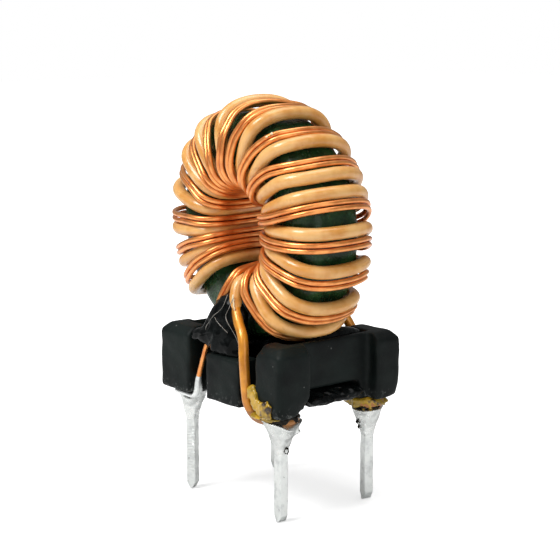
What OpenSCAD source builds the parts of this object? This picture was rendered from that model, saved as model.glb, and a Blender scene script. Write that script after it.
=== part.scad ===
// Toroidal inductor on a four-pin base, 2 windings laid side by side.
// Millimetres, +Z up. Z = 0 is the seating plane under the four posts of the base,
// X runs along the face of the base, Y goes through the hole of the ring. -Y is the front.

/* [Core] */
// outside diameter of the coated ring core
core_outer_d = 10.1; // [7.6:0.1:12.2]
// hole diameter of the coated ring core
core_inner_d = 4.9; // [4.4:0.1:5.6]
// thickness of the coated ring core along its axis
core_t = 3; // [2.4:0.1:3.6]
// rounding of the core's four edges
core_edge_r = 0.85; // [0.3:0.05:1.1]

/* [Seat of the ring] */
// how far the ring stands off the middle of the base along X
ring_x = -0.14; // [-0.3:0.02:0.3]
// how far the ring stands off the middle of the base along Y
ring_y = -0.5; // [-0.6:0.02:0.2]
// glue under the ring, between it and the floor of the trough
bed_t = 1.07; // [0.9:0.01:1.4]
// the ring is turned about the vertical by this much
ring_turn = -4; // [-6:0.5:6]
// the ring leans to the front by this much
ring_lean = 2; // [0:0.5:4]

/* [Windings] */
// diameter of the insulated heavy wire
heavy_d = 0.58; // [0.45:0.01:0.7]
// diameter of one fine wire of the pair
strand_d = 0.225; // [0.18:0.005:0.27]
// room left between the heavy wire and the core
heavy_gap = 0.04; // [0.03:0.01:0.08]
// how far a heavy turn bows off the middle of a core face
heavy_bow = 0.1; // [0:0.02:0.2]
// room left between the fine wires and the core
strand_gap = 0.07; // [0.06:0.01:0.1]
// room between the two fine wires of a pair
pair_gap = 0.028; // [0.02:0.004:0.06]
// diameter of the heavy wire where its outer sleeve is stripped
lead_d = 0.45; // [0.36:0.01:0.54]

/* [Base] */
// length of the base along X
base_x = 8.6; // [7.8:0.1:10.3]
// width of the base along Y
base_y = 7.1; // [6.8:0.1:8.5]
// height of the four corner posts
base_h = 3; // [2.7:0.1:3.4]
// height of the tunnel under the base
tunnel_h = 0.9; // [0.6:0.05:1]
// thickness of the floor between the tunnel and the trough
floor_t = 0.6; // [0.5:0.05:0.8]
// width of the trough that takes the ring
trough_w = 4.7; // [4.5:0.1:5]
// depth of the recess in both end walls
end_recess = 0.6; // [0.3:0.05:0.8]
// bevel along the top edges
top_bevel = 0.35; // [0.1:0.05:0.5]
// height of the wall between the two wire slots
mid_wall_h = 2.1; // [1.6:0.1:2.4]

/* [Pins] */
// pin spacing along X
pin_pitch_x = 6.35; // [5.8:0.05:7]
// pin spacing along Y
pin_pitch_y = 5.08; // [4.8:0.02:5.6]
// side of the square pins
pin_w = 0.46; // [0.4:0.02:0.56]
// pin length below the seating plane
pin_len = 4.87; // [3.8:0.01:5.8]
// depth to which the pins are pressed into the posts
pin_set = 2; // [1.4:0.1:2.3]
// length of the solder fillet down each pin
fillet_len = 1.3; // [1:0.05:1.6]

/* [Hidden] */
$fn = 64;

// Angles of the turns round the ring in degrees, from the first turn to the last, as the winder
// left them: 0 is towards +X and 90 is the top. Each turn runs hole, front, rim, back, hole.
hole_angles = [227, 208, 190, 166, 142, 119, 99, 76.5, 59, 41, 23.5, 6, -11, -34, -60, -78];
rim_front_angles = [220, 204, 184, 163, 141, 123, 99, 69, 48, 29, 21, 3, -15, -34, -51];
rim_back_angles = [217, 200, 184, 161, 137, 123, 91, 66, 45, 29, 20, 3, -14, -35, -51];
// The pair beside each heavy turn: its angle in the hole where it leaves to the front and where it
// comes back in from behind, the side it lies on and how far it strays from touching.
pair_out_angles = [216, 199, 178, 154, 131.5, 115.5, 99.5, 82.5, 65.5, 49.5, 16, -2, -22, -46, -66];
pair_in_angles = [199, 178, 155, 132, 115, 98, 81, 64, 47, 31, -2, -21, -45, -69, -92];
pair_side = [1, 1, 1, 1, 1, 1, 1, -1, -1, -1, 1, 1, 1, 1, 1];
pair_stray = [0, 0, 0, 0.35, 0.1, 0.1, 0.07, 0.02, 0.04, 0.05, 0, 0, 0, 0, 0.05];
turns = len(rim_front_angles);

// Stations round the core's section: 0 middle of the hole wall, 1 of the front face,
// 2 of the rim, 3 of the back face.
stations_per_turn = 20;
heavy_sides = 7;
fine_sides = 5;
lead_steps = 3;

core_ro = core_outer_d / 2;
core_ri = core_inner_d / 2;
core_h = core_t / 2;
core_mid = (core_ro + core_ri) / 2;
core_w = core_ro - core_ri;
edge_r = min(core_edge_r, 0.45 * core_w, 0.9 * core_h);
floor_top = tunnel_h + floor_t;
ring_z = floor_top + bed_t + core_ro;
trough_r = core_ro + bed_t;
pair_w = 2 * strand_d + pair_gap;
pair_half = (strand_d + pair_gap) / 2;
lay_room = 0.03;
rest_room = 0.05;
fit_gap = 0.01;
deg = 180 / PI;

// how far s has come along a span, 0 to 1
function along(s, span) = min(1, max(0, (s - span[0]) / (span[1] - span[0])));
function smooth(s, span) = let (t = along(s, span)) t * t * (3 - 2 * t);
function mix(a, b, w) = a + (b - a) * w;
function unit(v) = v / norm(v);

// every angle at least gap below the one before it
function spread(list, gap) =
    [for (i = 0, a = list[0]; i < len(list);
          i = i + 1, a = i < len(list) ? min(list[i], a - gap) : a) a];

hole_fit = deg * (heavy_d + lay_room) / (core_ri - heavy_gap - heavy_d / 2);
pair_fit = deg * (pair_w + pair_gap) / (core_ri - heavy_gap - heavy_d - rest_room - strand_d / 2);
// where the windings end, the lead lies clear of the last pair, and the pair's lead of both
lead_fit = deg * ((heavy_d + pair_w) / 2 + lay_room) / core_ri;
function end_at(list, last) =
    [for (i = [0:len(list) - 1]) i < len(list) - 1 ? list[i] : min(list[i], last)];
pair_out = spread(pair_out_angles, pair_fit);
heavy_in_hole = end_at(spread(hole_angles, hole_fit), pair_out[turns - 1] - lead_fit);
pair_in = spread(end_at(pair_in_angles, heavy_in_hole[turns] - lead_fit), pair_fit);

// The round that the stiff wire takes about the core's section is a superellipse: it clears the
// core's edges by heavy_gap and bows off the middle of the faces.
heavy_off = heavy_d / 2 + heavy_gap;
loop_in = core_w / 2 + heavy_off;
loop_out = loop_in + heavy_bow;
loop_deep = core_h + heavy_off + heavy_bow;
// the least power at which a round of half widths a and b keeps clear of the core's edges
function edge_point(turn, off) =
    [core_w / 2 - edge_r + (edge_r + off) * cos(turn), core_h - edge_r + (edge_r + off) * sin(turn)];
function power(a, b) =
    [for (n = [2.4:0.1:30])
        if (max([for (turn = [0:10:90]) let (q = edge_point(turn, heavy_off - heavy_gap / 3))
            pow(q[0] / a, n) + pow(q[1] / b, n)]) <= 1) n][0];
in_power = power(loop_in, loop_deep);
out_power = power(loop_out, loop_deep);
function signed_pow(x, n) = sign(x) * pow(abs(x), n);
// [radius, place along the axis, radial normal, axial normal], lift above the heavy wire's middle
function loop(s, lift = 0) =
    let (t = 180 + 90 * s, out = (1 + cos(t)) / 2, a = mix(loop_in, loop_out, out),
         n = mix(in_power, out_power, out),
         c = signed_pow(cos(t), 2 / n), d = signed_pow(sin(t), 2 / n),
         q = unit([signed_pow(c, n - 1) / a, signed_pow(d, n - 1) / loop_deep]))
    [core_mid + a * c + lift * q[0], loop_deep * d + lift * q[1], q[0], q[1]];

// a direction given in the ring's own frame, leant and turned as the ring stands
function turned(v) =
    let (y = v[1] * cos(ring_lean) - v[2] * sin(ring_lean),
         z = v[1] * sin(ring_lean) + v[2] * cos(ring_lean))
    [v[0] * cos(ring_turn) - y * sin(ring_turn), v[0] * sin(ring_turn) + y * cos(ring_turn), z];
function polar(r, a, th) = turned([r * cos(th), a, r * sin(th)]);
function place(r, a, th) = [ring_x, ring_y, ring_z] + polar(r, a, th);

// Stations over which a heavy turn moves round the ring: across the front face, along the rim
// and over the back face.
front_move = [0.1, 1.8];
rim_move = [1.4, 2.6];
back_move = [2.4, 3.8];
function heavy_outside(s, i) =
    mix(heavy_in_hole[i], rim_front_angles[i], smooth(s, front_move))
        + (rim_back_angles[i] - rim_front_angles[i]) * along(s, rim_move);
function heavy_angle(s, i) =
    i == turns ? heavy_in_hole[turns] :
    mix(heavy_outside(s, i), heavy_in_hole[i + 1], smooth(s, back_move));
function heavy_point(s, th) = let (q = loop(s)) place(q[0], q[1], th);

// The pair leaves the hole at its own angle, comes beside its heavy turn across the front face,
// follows it round the rim and drifts to its angle in the hole over the back face.
hole_out = [0, 0.45];
join_move = [0.6, 1.2];
hole_in = [3.5, 4];
function beside(i, r) =
    deg * pair_side[i] * (heavy_d / 2 + pair_w / 2 + lay_room + pair_stray[i]) / r;
function pair_angle(s, i, r) =
    let (first = i == 0 ? pair_out[0] : (pair_out[i] + pair_in[i - 1]) / 2,
         last = i == turns - 1 ? pair_in[i] : (pair_in[i] + pair_out[i + 1]) / 2,
         leaving = mix(first, pair_out[i], smooth(s, hole_out)),
         outside = mix(leaving, heavy_outside(s, i) - beside(i, r), smooth(s, join_move)))
    mix(outside, pair_in[i], smooth(s, back_move)) + (last - pair_in[i]) * smooth(s, hole_in);
// Height of the pair's middle over the heavy wire's: it rests on the heavy turns next to it and
// on the heavy lead, and sinks to the core where they leave room. A turn holds it up over a reach
// of ease to both sides, and slant shortens the way across a slanting turn.
touch = (heavy_d + strand_d) / 2 + rest_room;
sunk = strand_d / 2 + strand_gap - heavy_off;
ease = 0.1;
lead_to = 1.2;
function slant(s, j) =
    let (a = loop(s - ease), b = loop(s + ease), run = norm([b[0] - a[0], b[1] - a[1]]),
         across = (heavy_angle(s + ease, j) - heavy_angle(s - ease, j)) * loop(s)[0] / deg)
    run / norm([run, across]);
function rest(s, i) =
    let (r = loop(s)[0], th = pair_angle(s, i, r))
    max([sunk, for (j = [max(0, i - 2):min(turns - (s < lead_to ? 0 : 1), i + 2)])
        let (aside = abs(heavy_angle(s, j) - th) * slant(s, j) * r / deg,
             near = max(0, aside - pair_half))
        sqrt(max(0, touch * touch - near * near))]);
function pair_lift(s, i) = max([for (k = [-1:1]) rest(s + k * ease, i)]);
// [middle of the pair, outward normal]
function pair_at(s, lift, th) = let (q = loop(s, lift)) [place(q[0], q[1], th), polar(q[2], q[3], th)];
function pair_turn_at(s, i) = pair_at(s, pair_lift(s, i), pair_angle(s, i, loop(s)[0]));

// smooth curve through control points, with lead_steps points to each stretch
function curve(p) =
    let (n = len(p), q = concat([2 * p[0] - p[1]], p, [2 * p[n - 1] - p[n - 2]]))
    concat([for (i = [1:n - 1], k = [0:lead_steps - 1])
            let (t = k / lead_steps, a = q[i - 1], b = q[i], c = q[i + 1], d = q[i + 2])
            0.5 * (2 * b + (c - a) * t + (2 * a - 5 * b + 4 * c - d) * t * t
                   + (3 * b - a - 3 * c + d) * t * t * t)], [p[n - 1]]);
function reversed(p) = [for (i = [len(p) - 1:-1:0]) p[i]];
function ways(p) = [for (i = [0:len(p) - 1])
    unit(p[min(i + 1, len(p) - 1)] - p[max(i - 1, 0)])];
function square_to(v, t) = unit(v - (v * t) * t);
// a direction carried along the run without twisting
function carried(t) =
    [for (i = 0, u = square_to([0.2, 0.4, 0.9], t[0]); i < len(t);
          i = i + 1, u = i < len(t) ? square_to(u, t[i]) : u) u];

module wire(p, r, sides) {
    t = ways(p);
    u = carried(t);
    last = len(p) - 1;
    skin = [for (i = [0:last], k = [0:sides - 1])
        p[i] + r[i] * (cos(360 * k / sides) * u[i] + sin(360 * k / sides) * cross(t[i], u[i]))];
    polyhedron(skin, concat(
        [for (i = [0:last - 1], k = [0:sides - 1]) let (a = i * sides, b = a + sides, n = (k + 1) % sides)
            [a + k, b + k, a + n]],
        [for (i = [0:last - 1], k = [0:sides - 1]) let (a = i * sides, b = a + sides, n = (k + 1) % sides)
            [a + n, b + k, b + n]],
        [for (k = [1:sides - 2]) [0, k, k + 1]],
        [for (k = [1:sides - 2]) let (e = last * sides) [e, e + k + 1, e + k]]));
}

// ---- where things stand ----
pin_x = pin_pitch_x / 2;
pin_y = pin_pitch_y / 2;
half_x = base_x / 2;
half_y = base_y / 2;
pin_reach = pin_w * sqrt(2) / 2;
wrap_room = 0.03;
under_room = 0.05;
heavy_wrap_r = pin_reach + lead_d / 2 + wrap_room;
heavy_wrap_z = -lead_d / 2 - under_room;
fine_wrap_r = pin_reach + strand_d / 2 + wrap_room + pair_half;
fine_wrap_z = -strand_d / 2 - under_room;
heavy_solder_top = -lead_d - 2 * under_room;
fine_solder_top = -strand_d - 2 * under_room - 0.08;

// The wire slots of the front wall; the back wall has the same turned half round.
wide_post = half_x - pin_x + 1.105;
narrow_post = half_x - pin_x + 0.575;
wide_slot = 1.24;
narrow_slot = 1.1;
slot_depth = half_y - trough_w / 2;
// the wires come down the slots this far from the middle of the base
slot_y = pin_y + 0.68;
heavy_slot_x = half_x - narrow_post - narrow_slot + 0.4;
fine_slot_x = -half_x + wide_post + 0.3;
// at the back the heavy wire takes the wide slot and the pair the narrow one
heavy_back_x = half_x - wide_post - 0.62;
fine_back_x = -half_x + narrow_post + 0.55;

function around(x, y, r, a0, a1, n) =
    [for (k = [0:n - 1]) let (a = a0 + (a1 - a0) * k / (n - 1)) [x + r * cos(a), y + r * sin(a)]];

// ---- heavy wire ----
heavy_front_lead = curve(concat(
    [for (s = [0, 0.2]) heavy_point(s, heavy_in_hole[turns])],
    [place(core_ri - 0.22, -loop_deep + 0.5, heavy_in_hole[turns] - 1),
     place(core_ri - 0.05, -loop_deep - 0.02, heavy_in_hole[turns] - 1.5),
     place(core_ri + 0.68, -loop_deep - 0.35, heavy_in_hole[turns]),
     place(core_mid + 0.25, -loop_deep - touch - heavy_d / 2 + 0.1, -73),
     [heavy_slot_x - 0.4, -slot_y - 0.06, base_h + 0.1],
     [heavy_slot_x - 0.1, -slot_y - 0.23, base_h * 0.67],
     [heavy_slot_x + 0.02, -slot_y - 0.23, base_h * 0.3],
     [heavy_slot_x + 0.12, -slot_y - 0.18, 0.28],
     [pin_x - 0.85, -pin_y - heavy_wrap_r - 0.08, heavy_wrap_z + 0.04]],
    [for (q = around(pin_x, -pin_y, heavy_wrap_r, -95, 150, 9)) [q[0], q[1], heavy_wrap_z]]));
heavy_back_lead = curve(concat(
    [for (k = [0:3]) heavy_point(4 - 0.2 * k, heavy_in_hole[0] + 2 * k)],
    [place(core_ri + 0.35, loop_deep + 0.37, heavy_in_hole[0] + 25),
     [heavy_back_x - 1.3, slot_y - 0.77, base_h + 1],
     [heavy_back_x - 0.45, slot_y - 0.17, base_h + 0.25],
     [heavy_back_x, slot_y + 0.18, base_h * 0.7],
     [heavy_back_x + 0.1, slot_y + 0.2, base_h * 0.3],
     [heavy_back_x + 0.2, slot_y + 0.16, 0.08],
     [pin_x - 1.2, pin_y + heavy_wrap_r + 0.1, heavy_wrap_z - 0.03]],
    [for (q = around(pin_x, pin_y, heavy_wrap_r, 95, -150, 9)) [q[0], q[1], heavy_wrap_z]]));
turn_stations = [for (k = [0:stations_per_turn - 1]) 4 * (k + 0.5) / stations_per_turn];
heavy_turns = [for (i = [0:turns - 1], s = turn_stations) heavy_point(s, heavy_angle(s, i))];
// the sleeve ends a little over four control points along a lead
sleeved = 4 * lead_steps + 1;
function lead_radii(p) = [for (k = [0:len(p) - 1]) k <= sleeved ? heavy_d / 2 : lead_d / 2];

module heavy_winding() {
    color([0.92, 0.74, 0.46]) wire(
        concat(reversed(heavy_back_lead), heavy_turns, heavy_front_lead),
        concat(reversed(lead_radii(heavy_back_lead)), [for (q = heavy_turns) heavy_d / 2],
               lead_radii(heavy_front_lead)), heavy_sides);
}

// ---- pair of fine wires ----
// control points of the pair's leads: [middle, way from the middle to wire a]
fine_lead_stations = [0, 0.35, 0.42, 0.5];
function wrap_pair(x, y, a0, a1) =
    [for (q = around(x, y, 1, a0, a1, 11)) let (w = [q[0] - x, q[1] - y, 0])
        [[x, y, fine_wrap_z] + fine_wrap_r * w, -w]];
pair_off_core = place(core_ri + 0.6, -loop_deep - touch, pair_in[turns - 1] - 4);
pair_over_wall = place(core_ro - 0.73, -loop_deep - touch - 0.29, (pair_in[turns - 1] - 106) / 2);
fine_front_lead = concat(
    [for (s = fine_lead_stations) [pair_at(s, touch, pair_in[turns - 1])[0], [-1, 0, 0]]],
    [[pair_off_core, [-0.94, 0, 0.33]],
     [pair_over_wall, [-0.8, 0.5, 0.1]],
     [[fine_slot_x + 0.62, -slot_y + 0.02, base_h * 0.78], [-0.4, 0.9, 0]],
     [[fine_slot_x + 0.35, -slot_y - 0.03, base_h * 0.53], [0, 1, 0]],
     [[fine_slot_x, -slot_y, base_h * 0.25], [0, 1, 0]],
     [[fine_slot_x - 0.1, -pin_y - fine_wrap_r - 0.04, 0.1], [0, 1, 0]],
     [[fine_slot_x - 0.28, -pin_y - fine_wrap_r - 0.01, fine_wrap_z + 0.01], [0, 1, 0]],
     [[-pin_x + 0.55, -pin_y - fine_wrap_r, fine_wrap_z], [0, 1, 0]]],
    wrap_pair(-pin_x, -pin_y, -88, -375));
fine_back_lead = concat(
    [for (k = [0:3]) let (q = pair_at(4 - fine_lead_stations[k], touch, pair_out[0] + 1.5 * k))
        [q[0], cross(turned([0, -1, 0]), k < 2 ? q[1] : polar(-1, 0, pair_out[0]))]],
    [[place(core_ri + 1, loop_deep + touch + 0.2, pair_out[0] + 13), [-0.93, 0, 0.35]],
     [[fine_back_x - 0.45, slot_y - 0.47, base_h + 0.8], [-0.9, -0.4, 0]],
     [[fine_back_x - 0.2, slot_y - 0.07, base_h * 0.9], [-0.5, -0.86, 0]],
     [[fine_back_x, slot_y + 0.08, base_h * 0.6], [0, -1, 0]],
     [[fine_back_x + 0.1, slot_y + 0.06, base_h * 0.27], [0, -1, 0]],
     [[fine_back_x + 0.14, pin_y + fine_wrap_r + 0.06, 0.1], [0, -1, 0]],
     [[fine_back_x - 0.06, pin_y + fine_wrap_r, fine_wrap_z], [0, -1, 0]],
     [[-pin_x + 0.55, pin_y + fine_wrap_r, fine_wrap_z], [0, -1, 0]]],
    wrap_pair(-pin_x, pin_y, 88, 375));
pair_turns = [for (i = [0:turns - 1], s = turn_stations) pair_turn_at(s, i)];
pair_ways = ways([for (q = pair_turns) q[0]]);

// the route of one fine wire, side 1 or -1 of the pair's middle
function fine_route(side) = concat(
    reversed(curve([for (q = fine_back_lead) q[0] + side * pair_half * unit(q[1])])),
    [for (k = [0:len(pair_turns) - 1])
        pair_turns[k][0] + side * pair_half * unit(cross(pair_ways[k], pair_turns[k][1]))],
    curve([for (q = fine_front_lead) q[0] + side * pair_half * unit(q[1])]));
module fine_wire(side) {
    p = fine_route(side);
    color([0.85, 0.48, 0.24]) wire(p, [for (q = p) strand_d / 2], fine_sides);
}
module fine_wire_a() { fine_wire(1); }
module fine_wire_b() { fine_wire(-1); }

// ---- ring core ----
module in_ring() {
    translate([ring_x, ring_y, ring_z]) rotate([0, 0, ring_turn]) rotate([ring_lean, 0, 0])
        rotate([90, 0, 0]) children();
}
module core_section(grow = 0) {
    e = edge_r + grow;
    x0 = core_ri + edge_r;
    x1 = core_ro - edge_r;
    y1 = core_h - edge_r;
    translate([x0 - e, -y1]) square([x1 - x0 + 2 * e, 2 * y1]);
    translate([x0, -y1 - e]) square([x1 - x0, 2 * (y1 + e)]);
    for (x = [x0, x1], y = [-y1, y1]) translate([x, y]) circle(e);
}
module core() { color([0.2, 0.36, 0.26]) in_ring() rotate_extrude($fn = 96) core_section(); }

// ---- base ----
corner_bevel = 0.15;
recess_near = 1.8;
recess_far = 2.07;
end_wall = 0.35;
module plan() {
    polygon([[-half_x + corner_bevel, -half_y], [half_x - corner_bevel, -half_y],
             [half_x, -half_y + corner_bevel], [half_x, half_y - corner_bevel],
             [half_x - corner_bevel, half_y], [-half_x + corner_bevel, half_y],
             [-half_x, half_y - corner_bevel], [-half_x, -half_y + corner_bevel]]);
}
module edge_cut(length) {
    side = top_bevel * sqrt(2);
    rotate([45, 0, 0]) cube([length, side, side], center = true);
}
over = 1;
module half_cuts() {
    // recess in the end wall
    translate([half_x - end_recess, -recess_near, -over])
        cube([end_recess + over, recess_near + recess_far, base_h + 2 * over]);
    // wide slot and narrow slot of the front wall
    translate([-half_x + wide_post, -half_y - over, -over])
        cube([wide_slot, slot_depth + over, base_h + 2 * over]);
    translate([half_x - narrow_post - narrow_slot, -half_y - over, -over])
        cube([narrow_slot, slot_depth + over, base_h + 2 * over]);
    // the wall between the slots stands lower
    translate([-half_x + wide_post, -half_y - over, mid_wall_h])
        cube([base_x - wide_post - narrow_post, half_y - trough_w / 2 + 2 * over, base_h]);
    // bevels along the top of the front wall and of the end wall
    translate([0, -half_y, base_h]) edge_cut(base_x + over);
    translate([half_x, 0, base_h]) rotate([0, 0, 90]) edge_cut(base_y + over);
}
module base() {
    color([0.1, 0.12, 0.12]) difference() {
        linear_extrude(base_h) plan();
        half_cuts();
        rotate([0, 0, 180]) half_cuts();
        // trough that takes the ring
        intersection() {
            translate([ring_x, 0, ring_z]) rotate([90, 0, 0])
                cylinder(r = trough_r, h = trough_w, center = true, $fn = 96);
            translate([-half_x + end_recess + end_wall, -half_y, 0])
                cube([base_x - 2 * (end_recess + end_wall), base_y, base_h + over]);
        }
        // room for the windings over the end walls
        translate([ring_x, 0, ring_z]) rotate([90, 0, 0])
            cylinder(r = core_mid + loop_out + heavy_d / 2 + rest_room, h = trough_w, center = true,
                     $fn = 96);
        // tunnel from end to end under the floor
        translate([-half_x - over, -recess_near + 0.2, -over])
            cube([base_x + 2 * over, 2 * recess_near - 0.4, tunnel_h + over]);
        for (i = [0:3]) pin_place(i) pin_shape(pin_w + 2 * fit_gap, pin_set + fit_gap);
    }
}

// ---- pins: front, left, right, back ----
pin_sites = [[1, -1], [-1, -1], [1, 1], [-1, 1]];
pin_turns = [0, 25, -12, 8];
tip_len = 0.3;
tip_w = 0.1;
module pin_place(i) {
    translate([pin_sites[i][0] * pin_x, pin_sites[i][1] * pin_y, 0]) rotate([0, 0, pin_turns[i]])
        children();
}
module pin_shape(w, up) {
    rotate([90, 0, 0]) linear_extrude(w, center = true)
        polygon([[-w / 2, up], [-w / 2, -pin_len + tip_len], [-tip_w / 2, -pin_len],
                 [tip_w / 2, -pin_len], [w / 2, -pin_len + tip_len], [w / 2, up]]);
}
module pin(i) { color([0.84, 0.85, 0.84]) pin_place(i) pin_shape(pin_w, pin_set); }
module pin_front() { pin(0); }
module pin_left() { pin(1); }
module pin_right() { pin(2); }
module pin_back() { pin(3); }

// ---- solder fillets ----
module solder(i, top, r) {
    skirt = pin_reach + 0.03;
    color([0.8, 0.81, 0.8]) difference() {
        pin_place(i) rotate_extrude($fn = 48)
            polygon([[0, top], [r * 0.92, top], [r, top - 0.1], [mix(skirt, r, 0.42), top - 0.42],
                     [mix(skirt, r, 0.12), top - 0.85], [skirt, top - fillet_len], [0, top - fillet_len]]);
        pin_place(i) pin_shape(pin_w + 2 * fit_gap, pin_set);
    }
}
module solder_front() { solder(0, heavy_solder_top, 0.8); }
module solder_left() { solder(1, fine_solder_top, 0.64); }
module solder_right() { solder(2, heavy_solder_top - 0.04, 0.72); }
module solder_back() { solder(3, fine_solder_top, 0.64); }

// ---- glue ----
bed_w = 2.7;
bed_left = 2.3;
bed_right = 1.6;
module glue_bed() {
    color([0.07, 0.08, 0.08]) difference() {
        intersection() {
            translate([ring_x, 0, ring_z]) rotate([90, 0, 0])
                cylinder(r = trough_r - fit_gap, h = trough_w - 2 * fit_gap, center = true, $fn = 96);
            translate([ring_x - bed_left, ring_y - bed_w / 2, floor_top])
                cube([bed_left + bed_right, bed_w, base_h - floor_top - 0.1]);
        }
        in_ring() cylinder(r = core_ro + 2 * fit_gap, h = 2 * core_t, center = true, $fn = 96);
    }
}

// mound in front of the ring, under the pair's lead: its top stands on the core's face
mound_h = ring_z - core_ri - 0.67 - mid_wall_h;
mound_slope = 7;
mound_room = 0.07;
mound_back = ring_y - core_h + (ring_z - mid_wall_h - mound_h) * tan(ring_lean)
    - mound_h * tan(mound_slope) - mound_room;
// thickness that is left under a point of the pair's lead
function mound_under(q) =
    (mound_back + (q[2] - mid_wall_h) * tan(mound_slope) - q[1]
     - (strand_d + pair_half) / 2 - mound_room) * cos(mound_slope);
mound_t = min(0.65, slot_y + mound_back - 0.29, mound_under(pair_off_core),
              mound_under(pair_over_wall));
module glue_front() {
    far_x = heavy_slot_x - 0.65;
    near_x = fine_slot_x - 0.18;
    // the top ends beside the heavy wire's lead
    top_x = min(near_x + 1.65, place(core_ri + 0.47, 0, heavy_in_hole[turns] - 3)[0] - heavy_d / 2 - 0.15);
    outline = [[near_x, -0.12], [near_x, 0.27], [mix(near_x, top_x, 0.39), 0.5],
               [mix(near_x, top_x, 0.61), 0.79], [mix(near_x, top_x, 0.82), 1], [top_x, 0.96],
               [top_x + 0.3, 0.69], [far_x - 0.6, 0.4], [far_x - 0.25, 0.17], [far_x, -0.12]];
    color([0.07, 0.08, 0.08]) difference() {
        translate([0, mound_back, mid_wall_h]) rotate([90 - mound_slope, 0, 0])
            linear_extrude(mound_t) polygon([for (q = outline) [q[0], q[1] * mound_h]]);
        translate([-half_x, -half_y, mid_wall_h + fit_gap - base_h]) cube([base_x, half_y, base_h]);
    }
}
module glue_tunnel() {
    w = recess_near - 0.2 - fit_gap;
    top = tunnel_h - fit_gap;
    color([0.07, 0.08, 0.08]) translate([-pin_x, 0, 0]) rotate([90, 0, 90])
        linear_extrude(2 * pin_x + 0.2)
            polygon([[-w, top], [w, top], [w, top * 0.5], [w * 0.75, top * 0.33], [w * 0.5, top * 0.48],
                     [w * 0.2, top * 0.25], [-w * 0.12, top * 0.4], [-w * 0.42, top * 0.2],
                     [-w * 0.75, top * 0.34], [-w, top * 0.55]]);
}

core();
heavy_winding();
fine_wire_a();
fine_wire_b();
base();
pin_front();
pin_left();
pin_right();
pin_back();
solder_front();
solder_left();
solder_right();
solder_back();
glue_bed();
glue_front();
glue_tunnel();
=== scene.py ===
"""Looks of a toroidal inductor on a four-pin base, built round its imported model.

Sizes inside the classes are millimetres in the model's own frame: +Z up, -Y the front, Z = 0 the
seating plane under the posts of the base. Meshes are written in metres.
"""

import logging
import math
from dataclasses import dataclass, field
from enum import Enum
from itertools import accumulate
from typing import Any, Sequence

import bmesh
import bpy
import numpy as np
from mathutils import Matrix, Vector


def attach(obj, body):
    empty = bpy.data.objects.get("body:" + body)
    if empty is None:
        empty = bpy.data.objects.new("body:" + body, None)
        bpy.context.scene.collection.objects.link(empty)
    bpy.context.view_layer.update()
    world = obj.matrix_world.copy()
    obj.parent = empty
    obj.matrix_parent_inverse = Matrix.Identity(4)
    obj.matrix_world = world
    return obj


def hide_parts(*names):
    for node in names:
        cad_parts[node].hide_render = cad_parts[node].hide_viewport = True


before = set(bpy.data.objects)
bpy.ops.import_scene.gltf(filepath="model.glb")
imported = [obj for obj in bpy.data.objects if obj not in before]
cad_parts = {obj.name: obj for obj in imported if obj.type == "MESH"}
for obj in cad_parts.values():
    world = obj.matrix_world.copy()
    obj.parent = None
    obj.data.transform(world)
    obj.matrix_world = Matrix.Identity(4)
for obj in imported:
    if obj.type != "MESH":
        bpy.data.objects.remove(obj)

Array = np.ndarray
Colour = tuple[float, float, float]
Point = tuple[float, float, float]
Points = tuple[Point, ...]
MM = 0.001
BODY = "root"
# angles of the rings of a tube's half-round cap, from its tip, in degrees
CAP_ANGLES = (80.0, 55.0, 28.0)
# power of the superellipse that a pin's section follows
PIN_SQUARE = 8
log = logging.getLogger("inductor")


# ---------------------------------------------------------------- shapes worked out as arrays

def smooth(x: Array | float) -> Array:
    """Smooth step: 3 t^2 - 2 t^3 with t the value held between 0 and 1."""
    t = np.clip(x, 0.0, 1.0)
    return t * t * (3 - 2 * t)


def part(s: Array | float, span: Sequence[float]) -> Array:
    """How far s has come along a span, held between 0 and 1."""
    return np.clip((np.asarray(s, float) - span[0]) / (span[1] - span[0]), 0.0, 1.0)


def mix(a: Any, b: Any, w: Any) -> Any:
    """Straight blend: a at weight 0, b at weight 1."""
    return a + (b - a) * w


def powered(x: Array, n: Any) -> Array:
    """The size of a value to a power, with the value's own sign."""
    return np.sign(x) * np.abs(x) ** n


def unit(v: Array) -> Array:
    """Vectors scaled to length 1 along the last axis."""
    return v / np.maximum(np.linalg.norm(v, axis=-1, keepdims=True), 1e-12)


def curve(points: Array, steps: int) -> Array:
    """A smooth curve through control points.

    Catmull-Rom: each stretch is the cubic whose slope at a point is half the step between its
    two neighbours. The line runs on straight past both ends.

    Args:
        points: control points, one a row, of any width.
        steps: points worked out on each stretch.

    Returns:
        The points of the curve, one a row, the last control point included.
    """
    p = np.asarray(points, float)
    q = np.vstack([2 * p[0] - p[1], p, 2 * p[-1] - p[-2]])
    a, b, c, d = (q[k:len(p) - 1 + k, None, :] for k in range(4))
    t = np.linspace(0, 1, steps, endpoint=False)[None, :, None]
    body = 0.5 * (2 * b + (c - a) * t + (2 * a - 5 * b + 4 * c - d) * t ** 2
                  + (3 * b - a - 3 * c + d) * t ** 3)
    return np.vstack([body.reshape(-1, p.shape[1]), p[-1:]])


def lengths(path: Array) -> Array:
    """Length run from the first point to each point of a path."""
    return np.concatenate([[0.0], np.cumsum(np.linalg.norm(np.diff(path, axis=0), axis=1))])


def even(path: Array, step: float) -> Array:
    """The path with its points spaced evenly, about step apart.

    Args:
        path: points, one a row.
        step: the spacing wanted.

    Returns:
        The new points, with both ends kept.
    """
    run = lengths(path)
    at = np.linspace(0, run[-1], max(4, int(round(run[-1] / step)) + 1))
    return np.stack([np.interp(at, run, path[:, k]) for k in range(path.shape[1])], 1)


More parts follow.
